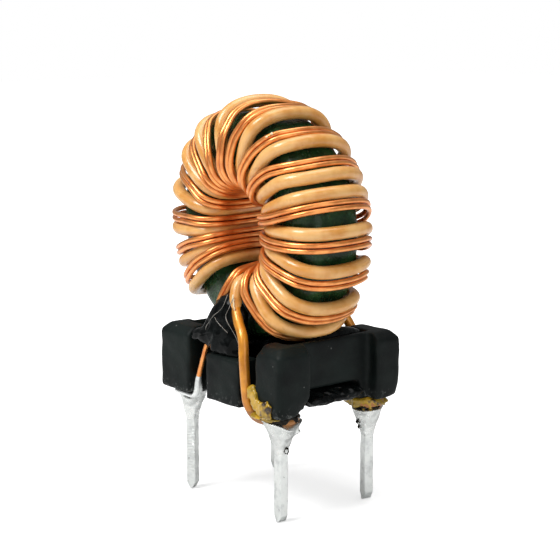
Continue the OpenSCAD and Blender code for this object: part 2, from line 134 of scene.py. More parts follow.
def relaxed(path: Array, width: int) -> Array:
    """The path with its bends eased: each point is a bell-weighted mean of its neighbours.

    The bell is a Hann window of 2 * width + 1 points, and both end points stay.

    Args:
        path: points, one a row, of any width.
        width: neighbours taken in on each side.

    Returns:
        As many points as before.
    """
    bell = np.hanning(2 * width + 3)[1:-1]
    bell /= bell.sum()
    wide = np.vstack([2 * path[0] - path[width:0:-1], path, 2 * path[-1] - path[-2:-width - 2:-1]])
    eased = np.stack([np.convolve(wide[:, k], bell, "valid") for k in range(path.shape[1])], 1)
    eased[0], eased[-1] = path[0], path[-1]
    return eased


def ways(path: Array) -> Array:
    """Unit direction of a path at each of its points, from the point before to the one after."""
    return unit(np.gradient(path, axis=0))


def carried(way: Array) -> Array:
    """Normals carried along a path without twisting.

    Each is the one before it with its share along the new direction taken out.

    Args:
        way: unit directions, one a row.

    Returns:
        A unit normal for each direction.
    """
    start = np.cross(way[0], [0.3, 0.5, 0.8])
    return np.array(list(accumulate(
        way, lambda u, t: unit(u - (u @ t) * t), initial=unit(start)))[1:])


def ripple(points: Array, size: float, seed: int) -> Array:
    """A smooth uneven value, mostly between -1 and 1, that depends on place alone.

    It is a quarter of the sum of twelve sine waves whose lengths lie round size. Their
    directions, lengths and phases come from the seed.

    Args:
        points: places, their coordinates in the last axis.
        size: length round which those of the waves lie.
        seed: seed of the waves.

    Returns:
        One value for each place.
    """
    rng = np.random.default_rng(seed)
    way = unit(rng.normal(size=(12, 3))) * (2 * np.pi / (size * rng.uniform(0.7, 1.6, (12, 1))))
    phase = rng.uniform(0, 2 * np.pi, 12)
    return np.sin(points @ way.T + phase).sum(-1) / 4.0


def around(x: float, y: float, r: float, first: float, last: float, count: int) -> Array:
    """Points of an arc in a level plane, angles in degrees: x and y only."""
    a = np.radians(np.linspace(first, last, count))
    return np.stack([x + r * np.cos(a), y + r * np.sin(a)], 1)


@dataclass
class Surface:
    """A grid of points, closed across its second direction, with both ends closed by a fan.

    Attributes:
        points: rows x columns x 3 places in millimetres.
        along: length in millimetres for each row, the first number of the UV map.
    """

    points: Array
    along: Array

    def mesh(self, name: str) -> bpy.types.Mesh:
        """The mesh of the surface in metres, faces outwards, with a UV map named Along.

        Args:
            name: name of the mesh.

        Returns:
            The mesh.
        """
        rows, cols = self.points.shape[:2]
        poles = np.stack([self.points[0].mean(0), self.points[-1].mean(0)])
        places = np.vstack([self.points.reshape(-1, 3), poles])
        i, j = np.meshgrid(np.arange(rows - 1), np.arange(cols), indexing="ij")
        n = (j + 1) % cols
        quads = np.stack([i * cols + j, (i + 1) * cols + j, (i + 1) * cols + n, i * cols + n], -1)
        edge, nxt = np.arange(cols), (np.arange(cols) + 1) % cols
        first = np.stack([np.full(cols, rows * cols), edge, nxt], -1)
        low = (rows - 1) * cols
        last = np.stack([np.full(cols, rows * cols + 1), low + nxt, low + edge], -1)
        v = j / cols
        v_next = (j + 1) / cols
        u, u_next = self.along[i], self.along[i + 1]
        quad_uv = np.stack([np.stack(c, -1) for c in
                            ((u, v), (u_next, v), (u_next, v_next), (u, v_next))], -2)
        fan = np.stack([np.full(cols, 0.5), edge / cols, (edge + 1) / cols], -1)
        first_uv = np.stack([np.full((cols, 3), self.along[0]), fan], -1)
        last_uv = np.stack([np.full((cols, 3), self.along[-1]), fan[:, [0, 2, 1]]], -1)
        quads, quad_uv = quads.reshape(-1, 4), quad_uv.reshape(-1, 4, 2)
        if self._volume(places, quads, first, last) < 0:
            quads, quad_uv = quads[:, ::-1], quad_uv[:, ::-1]
            first, first_uv, last, last_uv = (x[:, ::-1] for x in (first, first_uv, last, last_uv))
        mesh = bpy.data.meshes.new(name)
        mesh.from_pydata(places * MM, [], quads.tolist() + first.tolist() + last.tolist())
        layer = mesh.uv_layers.new(name="Along")
        uv = np.concatenate([quad_uv.reshape(-1), first_uv.reshape(-1), last_uv.reshape(-1)])
        layer.data.foreach_set("uv", uv.astype(np.float32))
        mesh.polygons.foreach_set("use_smooth", np.ones(len(mesh.polygons), bool))
        mesh.update()
        return mesh

    @staticmethod
    def _volume(places: Array, quads: Array, *fans: Array) -> float:
        """Signed volume: a sixth of the sum of triple products over the triangles.

        Args:
            places: all points of the surface.
            quads: corners of its four-sided faces.
            fans: corners of the triangles that close its ends.

        Returns:
            The volume in cubic millimetres, below 0 where the faces point inwards.
        """
        tris = np.vstack([quads[:, :3], quads[:, [0, 2, 3]], *fans])
        a, b, c = (places[tris[:, k]] for k in range(3))
        return float(np.einsum("ij,ij->i", a, np.cross(b, c)).sum() / 6)


def swept(path: Array, radius: Array | float, sides: int) -> Surface:
    """A round tube carried along a path, closed at both ends by a half-round cap.

    A point is the path's point plus its radius times the cosine and sine of the angle round it
    along two carried normals. At an end the ring runs on by the sine of a quarter turn and
    shrinks by its cosine.

    Args:
        path: points of the middle line in millimetres.
        radius: one number, one a point, or points x sides.
        sides: points round the tube.

    Returns:
        The closed surface.
    """
    way = ways(path)
    u = carried(way)
    w = np.cross(way, u)
    r = np.broadcast_to(np.asarray(radius, float).reshape(
        (-1, 1) if np.ndim(radius) < 2 else np.shape(radius)), (len(path), sides))
    lift = np.radians(CAP_ANGLES)
    ends = []
    for at, sign in ((0, -1), (-1, 1)):
        grow = np.sin(lift)[:, None] * r[at].mean() * sign
        ends.append((path[at] + grow * way[at], np.cos(lift)[:, None] * r[at],
                     np.repeat(u[at][None], 3, 0), np.repeat(w[at][None], 3, 0)))
    (p0, r0, u0, w0), (p1, r1, u1, w1) = ends[0], tuple(x[::-1] for x in ends[1])
    p, r = np.vstack([p0, path, p1]), np.vstack([r0, r, r1])
    u, w = np.vstack([u0, u, u1]), np.vstack([w0, w, w1])
    a = np.linspace(0, 2 * np.pi, sides, endpoint=False)
    points = (p[:, None] + r[..., None] * (np.cos(a)[None, :, None] * u[:, None]
                                           + np.sin(a)[None, :, None] * w[:, None]))
    return Surface(points, lengths(p))


@dataclass(frozen=True)
class Bump:
    """A swelling on a turned shape, or a pit where its height is negative.

    Attributes:
        angle: where it lies round the axis, in degrees.
        level: where it lies along the axis.
        width: reach of its bell, in degrees for a rise of the rim and else in millimetres.
        height: how far it stands off.
    """

    angle: float
    level: float
    width: float
    height: float

    def _swing(self, a: Array) -> Array:
        """Degrees from the bump's own angle, between -180 and 180, at angles in radians."""
        return (np.degrees(a) - self.angle + 180) % 360 - 180

    def rise(self, a: Array) -> Array:
        """Its height round a rim."""
        return self.height * np.exp(-(self._swing(a) / self.width) ** 2)

    def swell(self, a: Array, r: Array, z: Array) -> Array:
        """Its height by the distance over the skin."""
        reach = np.hypot(np.radians(self._swing(a)) * np.maximum(r, 0.2), z - self.level)
        return self.height * np.exp(-(reach / self.width) ** 2)


@dataclass(frozen=True)
class Lump:
    """An uneven ball: directions over the sphere times the radii, times one plus a ripple.

    Attributes:
        middle: its middle.
        radii: its radii along X, Y and Z.
        rough: height of the ripple as a share of the radii.
        wave: length of the ripple's waves.
        seed: seed of the ripple.
        grid: rings from pole to pole, and points round each.
    """

    middle: Point
    radii: Point
    rough: float
    wave: float
    seed: int
    grid: tuple[int, int] = (24, 28)

    def shape(self) -> Surface:
        """Its surface.

        Returns:
            The closed surface.
        """
        rows, cols = self.grid
        lat = np.linspace(0.05, np.pi - 0.05, rows)[:, None]
        lon = np.linspace(0, 2 * np.pi, cols, endpoint=False)[None]
        way = np.stack([np.sin(lat) * np.cos(lon), np.sin(lat) * np.sin(lon),
                        np.broadcast_to(np.cos(lat), (rows, cols))], -1)
        plain = way * np.array(self.radii)
        grow = 1 + self.rough * ripple(plain + self.middle, self.wave, self.seed)[..., None]
        return Surface(self.middle + plain * grow, np.linspace(0, 2 * max(self.radii), rows))


@dataclass(frozen=True)
class Pad:
    """A rounded lump with a chosen outline.

    Each point lies on the way from the middle to the outline, at the sine of a latitude that
    runs from one face to the other, and stands off the outline's plane by half the thickness
    times the latitude's cosine. A ripple moves it in and out.

    Attributes:
        outline: points of the closed outline.
        middle: a point from which the whole outline is seen.
        across: way square to the outline.
        thick: full thickness in the middle.
        rows: rings from face to face.
        rough: height of the ripple.
        wave: length of the ripple's waves.
        seed: seed of the ripple.
        steps: points on each stretch of a smooth outline, or 0 where it runs straight.
        straight_step: spacing of the points where it runs straight.
        round_power: power of the latitude's sine; under 1 it makes the rim blunt.
    """

    outline: Points
    middle: Point
    across: Point
    thick: float
    rows: int
    rough: float
    wave: float
    seed: int
    steps: int = 8
    straight_step: float = 0.1
    round_power: float = 0.6

    def shape(self) -> Surface:
        """Its surface.

        Returns:
            The closed surface.
        """
        closed = np.array([*self.outline, self.outline[0]])
        line = curve(closed, self.steps) if self.steps else even(closed, self.straight_step)
        middle, across = np.array(self.middle), unit(np.array(self.across))
        lat = np.linspace(0.04, np.pi - 0.04, self.rows)[:, None, None]
        flat = powered(np.sin(lat), self.round_power)
        points = middle + (line[:-1] - middle) * flat + across * self.thick / 2 * np.cos(lat)
        grow = self.rough * ripple(points, self.wave, self.seed)
        points = points + unit(points - middle) * grow[..., None]
        return Surface(points, np.linspace(0, self.thick, self.rows))


def show(name: str, shape: Surface | bpy.types.Mesh, material: bpy.types.Material,
         replaces: Sequence[str] = ()) -> bpy.types.Object:
    """Puts a piece in the scene, dresses it and lets it ride on the part.

    Args:
        name: name of the piece.
        shape: its surface, or a ready mesh in metres.
        material: its finish.
        replaces: CAD nodes that it stands for.

    Returns:
        The new object.
    """
    mesh = shape.mesh(name) if isinstance(shape, Surface) else shape
    mesh.materials.clear()
    mesh.materials.append(material)
    piece = bpy.data.objects.new(name, mesh)
    bpy.context.scene.collection.objects.link(piece)
    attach(piece, BODY)
    if replaces:
        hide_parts(*replaces)
    log.info("%s: %d vertices, %d faces", name, len(mesh.vertices), len(mesh.polygons))
    return piece


# ---------------------------------------------------------------- shader graph

@dataclass(frozen=True)
class Sock:
    """A shader output that takes part in Python sums: each operator adds a Math node."""

    graph: "Graph"
    out: bpy.types.NodeSocket

    def _math(self, operation: str, *values: Any) -> "Sock":
        """The result of one Math node on these values."""
        return self.graph.add("ShaderNodeMath", {"operation": operation}, dict(enumerate(values)))

    def __add__(self, other: Any) -> "Sock":
        """self + other."""
        return self._math("ADD", self, other)

    __radd__ = __add__

    def __sub__(self, other: Any) -> "Sock":
        """self - other."""
        return self._math("SUBTRACT", self, other)

    def __rsub__(self, other: Any) -> "Sock":
        """other - self."""
        return self._math("SUBTRACT", other, self)

    def __mul__(self, other: Any) -> "Sock":
        """self * other."""
        return self._math("MULTIPLY", self, other)

    __rmul__ = __mul__

    def least(self, other: Any) -> "Sock":
        """The smaller of the two."""
        return self._math("MINIMUM", self, other)

    def step(self, low: float, high: float) -> "Sock":
        """0 up to low, 1 from high, and a smooth rise between them."""
        return self.graph.add("ShaderNodeMapRange", {"interpolation_type": "SMOOTHSTEP"},
                              {0: self, 1: low, 2: high, 3: 0.0, 4: 1.0})


class Graph:
    """The node tree of one material."""

    def __init__(self, name: str) -> None:
        """Starts a material with a Principled shader.

        Args:
            name: name of the material.
        """
        self.material = bpy.data.materials.new(name)
        self.material.use_nodes = True
        self.tree = self.material.node_tree
        self.shader = next(n for n in self.tree.nodes if n.type == "BSDF_PRINCIPLED")

    def add(self, kind: str, settings: dict[str, Any] | None = None,
            inputs: dict[Any, Any] | None = None, out: int | str = 0) -> Sock:
        """Adds one node.

        Args:
            kind: the node's type.
            settings: its properties, set first.
            inputs: values or links of its sockets, by name or number.
            out: the output to hand on.

        Returns:
            That output.
        """
        node = self.tree.nodes.new(kind)
        for key, value in (settings or {}).items():
            setattr(node, key, value)
        for key, value in (inputs or {}).items():
            self._feed(node.inputs[key], value)
        return Sock(self, node.outputs[out])

    def _feed(self, socket: bpy.types.NodeSocket, value: Any) -> None:
        """Links or sets one socket.

        Args:
            socket: the input.
            value: a link or a plain value; a colour of three parts is made opaque.
        """
        if isinstance(value, Sock):
            self.tree.links.new(value.out, socket)
        elif socket.type == "RGBA" and len(value) == 3:
            socket.default_value = (*value, 1.0)
        else:
            socket.default_value = value

    def place(self) -> Sock:
        """Object coordinates in millimetres.

        Returns:
            The coordinates.
        """
        spot = self.add("ShaderNodeTexCoord", out="Object")
        return self.add("ShaderNodeVectorMath", {"operation": "SCALE"},
                        {0: spot, "Scale": 1 / MM})

    def along(self, stretch: Sequence[float]) -> Sock:
        """The UV map's length in millimetres and turn round the wire, each times a number."""
        spot = self.add("ShaderNodeUVMap", {"uv_map": "Along"})
        return self.add("ShaderNodeVectorMath", {"operation": "MULTIPLY"}, {0: spot, 1: stretch})

    def noise(self, scale: float, detail: float = 3.0, rough: float = 0.55,
              at: Sock | None = None, shift: float = 0.0) -> Sock:
        """Noise between 0 and 1, scale counted in waves a millimetre.

        Args:
            scale: waves in one unit of the coordinates.
            detail: how many finer layers are added.
            rough: share of its height that each finer layer keeps.
            at: coordinates, or nothing for the object's own.
            shift: what is added to each coordinate, so that patterns differ.

        Returns:
            The noise.
        """
        spot = at or self.place()
        if shift:
            spot = self.add("ShaderNodeVectorMath", {"operation": "ADD"},
                            {0: spot, 1: (shift, shift, shift)})
        return self.add("ShaderNodeTexNoise", {}, {"Vector": spot, "Scale": scale,
                                                   "Detail": detail, "Roughness": rough})

    def cells(self, scale: float) -> Sock:
        """Distance to the nearest seed of a cell pattern."""
        return self.add("ShaderNodeTexVoronoi", {}, {"Vector": self.place(), "Scale": scale})

    def blend(self, weight: Sock | float, a: Any, b: Any) -> Sock:
        """Colour a at weight 0 and b at weight 1."""
        return self.add("ShaderNodeMix", {"data_type": "RGBA"}, {0: weight, 6: a, 7: b}, out=2)

    def height(self) -> Sock:
        """Height above the seating plane in millimetres."""
        return self.add("ShaderNodeSeparateXYZ", {}, {0: self.place()}, out=2)

    def finish(self, colour: Any, roughness: Any, relief: Sock | None = None,
               depth: float = 0.01, **plain: Any) -> bpy.types.Material:
        """Feeds the shader.

        Args:
            colour: base colour, a value or a link.
            roughness: a value or a link.
            relief: height of the skin between 0 and 1.
            depth: what a height of 1 stands for, in millimetres.
            plain: other sockets of the shader, with _ for a space.

        Returns:
            The finished material.
        """
        self._feed(self.shader.inputs["Base Color"], colour)
        self._feed(self.shader.inputs["Roughness"], roughness)
        if relief is not None:
            bump = self.add("ShaderNodeBump", {}, {"Height": relief, "Distance": depth * MM})
            self._feed(self.shader.inputs["Normal"], bump)
        for key, value in plain.items():
            self._feed(self.shader.inputs[key.replace("_", " ")], value)
        return self.material


# ---------------------------------------------------------------- finishes

@dataclass(frozen=True)
class SleeveFinish:
    """Cream to amber insulation of the heavy wire, a little waxy."""

    pale: Colour = (0.80, 0.47, 0.17)
    deep: Colour = (0.62, 0.26, 0.04)
    stain: Colour = (0.38, 0.13, 0.02)

    def material(self) -> bpy.types.Material:
        """Soft patches of the two tones, rare darker stains and a fine skin.

        Returns:
            The finished material.
        """
        g = Graph("sleeve")
        patch = g.noise(0.9, 3).step(0.35, 0.68)
        cloud = g.noise(5.0, 4, shift=3.1)
        tone = g.blend((patch * 0.7 + cloud * 0.35).least(1.0), self.pale, self.deep)
        stain = g.noise(2.6, 2, shift=9.0).step(0.66, 0.8) * 0.5
        skin = g.noise(9.0, 3, at=g.along((0.35, 1.2, 1.0)))
        return g.finish(g.blend(stain, tone, self.stain), cloud * 0.16 + 0.26, skin, 0.010,
                        Coat_Weight=0.6, Coat_Roughness=0.16, Specular_IOR_Level=0.4,
                        Subsurface_Weight=0.12, Subsurface_Radius=(0.0004, 0.00022, 0.0001))


@dataclass(frozen=True)
class EnamelFinish:
    """Lacquered bare wire under a tinted film, drawn along it; its end is tinned or darker brown.
    """

    name: str = "copper"
    bright: Colour = (0.97, 0.40, 0.11)
    dark: Colour = (0.60, 0.15, 0.025)
    metal: float = 0.85
    roughness: float = 0.27
    tin: Colour = (0.80, 0.82, 0.81)
    tin_level: float = -0.02

    def material(self) -> bpy.types.Material:
        """Tone and gloss wander slowly along the wire.

        Returns:
            The finished material.
        """
        g = Graph(self.name)
        tone = g.noise(1.7, 3).step(0.3, 0.75)
        lines = g.noise(3.0, 2, at=g.along((0.4, 9.0, 1.0)))
        tinned = g.height().step(self.tin_level + 0.05, self.tin_level - 0.05)
        return g.finish(g.blend(tinned, g.blend(tone * 0.75, self.bright, self.dark), self.tin),
                        lines * 0.12 + self.roughness, lines, 0.003,
                        Metallic=self.metal, Coat_Weight=0.5, Coat_Roughness=0.12)


@dataclass(frozen=True)
class RingFinish:
    """Green baked coat of the core: glossy, uneven, with painted light and painted shade in
    patches.
    """

    green: Colour = (0.022, 0.072, 0.022)
    # the core's colour in shade: painted shade
    dark: Colour = (0.006, 0.020, 0.007)
    # the core's colour where lit: painted light
    worn: Colour = (0.07, 0.20, 0.11)

    def material(self) -> bpy.types.Material:
        """Flow patches of painted shade, small pits, and rougher pale patches of painted light.

        Returns:
            The finished material.
        """
        g = Graph("ring_coat")
        flow = g.noise(1.3, 4)
        # painted light: random pale patches in the core's lit colour, a little rougher there
        lit_patch = g.noise(3.4, 5, 0.7, shift=5.0).step(0.58, 0.75)
        # painted shade: the flow patches blend the green with its colour in shade
        tone = g.blend(flow.step(0.3, 0.7), self.dark, self.green)
        pits = g.noise(7.0, 4, shift=2.0)
        return g.finish(g.blend(lit_patch * 0.45, tone, self.worn), lit_patch * 0.2 + 0.26,
                        pits * 0.6 + flow, 0.05, Coat_Weight=0.1, Coat_Roughness=0.12,
                        Specular_IOR_Level=0.22)


@dataclass(frozen=True)
class MouldedFinish:
    """Black moulded base: fine spark-eroded skin, dusty scuffs, a greenish cast."""

    black: Colour = (0.0018, 0.0030, 0.0030)
    dusty: Colour = (0.014, 0.023, 0.020)
    chalk: Colour = (0.20, 0.21, 0.20)

    def material(self) -> bpy.types.Material:
        """Broad cloudy scuffs, grain in the skin, and chalky specks, most of them low down.

        Returns:
            The finished material.
        """
        g = Graph("moulded_black")
        cloud = g.noise(0.45, 5, 0.6).step(0.34, 0.7)
        scuff = g.noise(6.0, 6, 0.7, shift=4.0).step(0.56, 0.8)
        speck = g.cells(1.9).step(0.10, 0.035) * g.noise(2.2, 2, shift=8.0).step(0.5, 0.62)
        low = g.height().step(0.6, 0.05) * g.noise(4.5, 4, 0.7, shift=2.0).step(0.54, 0.62)
        tone = g.blend(cloud * 0.42 + scuff * 0.3, self.black, self.dusty)
        grain = g.noise(16.0, 4, 0.6)
        dust = (speck * 0.7 + low * 0.35).least(1.0)
        return g.finish(g.blend(dust, tone, self.chalk), 0.52 - scuff * 0.12,
                        grain * 0.35 + g.noise(2.0, 3), 0.014, Specular_IOR_Level=0.13)


@dataclass(frozen=True)
class TinFinish:
    """Tinned metal of the pins and their solder: pale, satin, with grey flecks and pits."""

    name: str = "tinned"
    pale: Colour = (0.82, 0.845, 0.825)
    grey: Colour = (0.50, 0.52, 0.52)
    dark: Colour = (0.10, 0.09, 0.08)
    roughness: float = 0.36
    fleck: float = 0.64

    def material(self) -> bpy.types.Material:
        """Clouds of grey, rare dark flecks and a pitted skin.

        Returns:
            The finished material.
        """
        g = Graph(self.name)
        cloud = g.noise(2.2, 4, 0.6).step(0.42, 0.75)
        fleck = g.noise(5.5, 4, 0.6, shift=7.0).step(self.fleck, self.fleck + 0.1)
        tone = g.blend(cloud * 0.6, self.pale, self.grey)
        pits = g.noise(8.0, 4, 0.6, shift=1.0)
        return g.finish(g.blend(fleck * 0.8, tone, self.dark), cloud * 0.15 + self.roughness,
                        pits, 0.03, Metallic=0.92)


@dataclass(frozen=True)
class GlueFinish:
    """Cured black glue: smoother and wetter than the base."""

    name: str = "black_glue"
    tone: Colour = (0.0015, 0.002, 0.002)
    haze: Colour = (0.006, 0.0075, 0.0075)
    roughness: float = 0.12

    def material(self) -> bpy.types.Material:
        """Lumpy skin whose gloss comes and goes.

        Returns:
            The finished material.
        """
        g = Graph(self.name)
        dull = g.noise(1.8, 4).step(0.4, 0.7)
        lumps = g.noise(1.5, 2, 0.5, shift=6.0)
        return g.finish(g.blend(dull, self.tone, self.haze), dull * 0.2 + self.roughness,
                        lumps, 0.09, Specular_IOR_Level=0.09)


@dataclass(frozen=True)
class ResinFinish:
    """Burnt insulation and flux: amber where thin, brown to black where charred."""

    amber: Colour = (0.52, 0.31, 0.022)
    olive: Colour = (0.28, 0.18, 0.016)
    char: Colour = (0.03, 0.015, 0.006)

    def material(self) -> bpy.types.Material:
        """Three tones in patches over a glossy uneven skin.

        Returns:
            The finished material.
        """
        g = Graph("burnt_resin")
        first = g.noise(1.1, 3).step(0.38, 0.62)
        second = g.noise(1.7, 2, shift=4.0).step(0.56, 0.70)
        tone = g.blend(second, g.blend(first, self.amber, self.olive), self.char)
        return g.finish(tone, 0.2, g.noise(2.4, 2, 0.5, shift=2.0), 0.08,
                        Specular_IOR_Level=0.5)


@dataclass(frozen=True)
class FibreFinish:
    """Mottled and dull: milky grey for drawn threads of glue, and pale for torn sleeve."""

    name: str = "threads"
    tone: Colour = (0.12, 0.115, 0.10)
    pale: Colour = (0.28, 0.265, 0.24)

    def material(self) -> bpy.types.Material:
        """Patches of the two tones.

        Returns:
            The finished material.
        """
        g = Graph(self.name)
        cloud = g.noise(3.0, 3)
        return g.finish(g.blend(cloud, self.tone, self.pale), 0.4, cloud, 0.01)


# ---------------------------------------------------------------- where things stand

class Corner(Enum):
    """The four pins, each with the signs of its X and Y and its turn about the vertical."""

    FRONT = (1, -1, 0.0)
    LEFT = (-1, -1, 25.0)
    RIGHT = (1, 1, -12.0)
    BACK = (-1, 1, 8.0)

    @property
    def node(self) -> str:
        """The last part of this corner's node names."""
        return self.name.lower()


@dataclass(frozen=True)
class Layout:
    """Sizes of the base and the pins, and what hangs on them."""

    base_x: float = 8.6
    base_y: float = 7.1
    base_h: float = 3.0
    wide_post: float = 2.23
    narrow_post: float = 1.7
    slot_y: float = 3.22
    narrow_slot: float = 1.1
    pin_x: float = 3.175
    pin_y: float = 2.54
    pin_w: float = 0.46
    pin_len: float = 4.87
    lead_d: float = 0.45
    strand_d: float = 0.225
    pair_gap: float = 0.028
    wrap_room: float = 0.03
    under_room: float = 0.05

    @property
    def half_x(self) -> float:
        """Half the length of the base."""
        return self.base_x / 2

    @property
    def half_y(self) -> float:
        """Half the width of the base."""
        return self.base_y / 2

    @property
    def pin_reach(self) -> float:
        """Half the diagonal of a pin."""
        return self.pin_w * math.sqrt(0.5)

    @property
    def heavy_slot_x(self) -> float:
        """Where the heavy lead runs down the front."""
        return self.half_x - self.narrow_post - self.narrow_slot + 0.4

    @property
    def fine_slot_x(self) -> float:
        """Where the pair runs down the front."""
        return -self.half_x + self.wide_post + 0.3

    @property
    def heavy_back_x(self) -> float:
        """Where the heavy lead runs down the back."""
        return self.half_x - self.wide_post - 0.62

    @property
    def fine_back_x(self) -> float:
        """Where the pair runs down the back."""
        return -self.half_x + self.narrow_post + 0.55

    @property
    def pair_w(self) -> float:
        """Width of the two fine wires side by side."""
        return 2 * self.strand_d + self.pair_gap

    @property
    def pair_half(self) -> float:
        """Half the spacing of the two fine wires."""
        return (self.strand_d + self.pair_gap) / 2

    @property
    def heavy_wrap(self) -> tuple[float, float]:
        """Radius and level of the bare heavy lead round its pin."""
        return self.pin_reach + self.lead_d / 2 + self.wrap_room, -self.lead_d / 2 - self.under_room

    @property
    def pair_wrap(self) -> tuple[float, float]:
        """Radius and level of the pair's middle round its pin."""
        return (self.pin_reach + self.strand_d / 2 + self.wrap_room + self.pair_half,
                -self.strand_d / 2 - self.under_room)

    def pin(self, corner: Corner) -> tuple[float, float]:
        """X and Y of a pin."""
        return corner.value[0] * self.pin_x, corner.value[1] * self.pin_y


@dataclass(frozen=True)
class Ring:
    """The coated core and how it stands on the base."""

    outer_r: float = 5.05
    inner_r: float = 2.45
    half_t: float = 1.5
    edge_r: float = 0.85
    middle: Point = (-0.14, -0.5, 7.62)
    turn: float = -4.0
    lean: float = 2.0

    def outline(self, count: int) -> tuple[Array, Array, Array, Array]:
        """The core's section, a rectangle with round corners, in evenly spaced points.

        A corner's points are its centre plus the edge radius times the cosine and sine of the
        angle, and the straight sides join the corners.

        Args:
            count: points round the section.

        Returns:
            Radius, place along the axis, and the radial and axial parts of the outward normal.
        """
        corner = np.repeat(np.arange(4), 17)
        a = np.radians(90 * corner + np.tile(np.linspace(0, 90, 17), 4))
        flat_r = (self.outer_r - self.inner_r) / 2 - self.edge_r
        flat_y = self.half_t - self.edge_r
        middle = (self.outer_r + self.inner_r) / 2
        skin = np.stack([
            middle + np.array([1, -1, -1, 1])[corner] * flat_r + self.edge_r * np.cos(a),
            np.array([1, 1, -1, -1])[corner] * flat_y + self.edge_r * np.sin(a),
            np.cos(a), np.sin(a)], 1)
        skin = np.vstack([skin, skin[:1]])
        run = lengths(skin[:, :2])
        at = np.linspace(0, run[-1], count, endpoint=False)
        r, y, nr, ny = (np.interp(at, run, skin[:, k]) for k in range(4))
        return r, y, nr, ny

    def turned(self, v: Array) -> Array:
        """A direction of the ring's own frame, leant to the front and turned.

        Args:
            v: directions in the ring's own frame, in the last axis.

        Returns:
            The same directions in the model's frame.
        """
        lean, turn = math.radians(self.lean), math.radians(self.turn)
        y = v[..., 1] * math.cos(lean) - v[..., 2] * math.sin(lean)
        z = v[..., 1] * math.sin(lean) + v[..., 2] * math.cos(lean)
        return np.stack([v[..., 0] * math.cos(turn) - y * math.sin(turn),
                         v[..., 0] * math.sin(turn) + y * math.cos(turn), z], -1)

    def polar(self, r: Any, y: Any, angle: Any) -> Array:
        """A direction from radius, place along the axis and angle in degrees."""
        a = np.radians(angle)
        return self.turned(np.stack(np.broadcast_arrays(r * np.cos(a), y, r * np.sin(a)), -1))

    def place(self, r: Any, y: Any, angle: Any) -> Array:
        """A place from radius, place along the axis and angle in degrees."""
        return np.asarray(self.middle) + self.polar(r, y, angle)


@dataclass
class CoreRing:
    """The coated ring itself."""

    ring: Ring
    finish: RingFinish = RingFinish()
    around_rows: int = 240
    section_points: int = 72
    sag: float = 0.03

    def build(self) -> bpy.types.Object:
        """A grid of ring angle and place round the section, with slow waves in the coat.

        Returns:
            The piece that stands for the core.
        """
        angle = np.linspace(0, 360, self.around_rows, endpoint=False)[None]
        r, y, nr, ny = (x[:, None] for x in self.ring.outline(self.section_points))
        spot = self.ring.place(r, y, angle)
        wave = self.sag * (ripple(spot, 1.1, 21) - 1.0) * 0.5
        points = spot + self.ring.polar(nr, ny, angle) * wave[..., None]
        mesh = self._closed_both_ways(points)
        return show("core_ring", mesh, self.finish.material(), ["core"])

    @staticmethod
    def _closed_both_ways(points: Array) -> bpy.types.Mesh:
        """A mesh whose grid closes on itself in both directions, faces outwards.

        Args:
            points: rows x columns x 3 places in millimetres.

        Returns:
            The mesh in metres.
        """
        rows, cols = points.shape[:2]
        i, j = np.meshgrid(np.arange(rows), np.arange(cols), indexing="ij")
        p, n = (i + 1) % rows, (j + 1) % cols
        quads = np.stack([i * cols + j, i * cols + n, p * cols + n, p * cols + j], -1)
        mesh = bpy.data.meshes.new("core_ring")
        mesh.from_pydata(points.reshape(-1, 3) * MM, [], quads.reshape(-1, 4).tolist())
        mesh.polygons.foreach_set("use_smooth", np.ones(len(mesh.polygons), bool))
        solid = bmesh.new()
        solid.from_mesh(mesh)
        bmesh.ops.recalc_face_normals(solid, faces=solid.faces)
        solid.to_mesh(mesh)
        solid.free()
        return mesh


# ---------------------------------------------------------------- windings

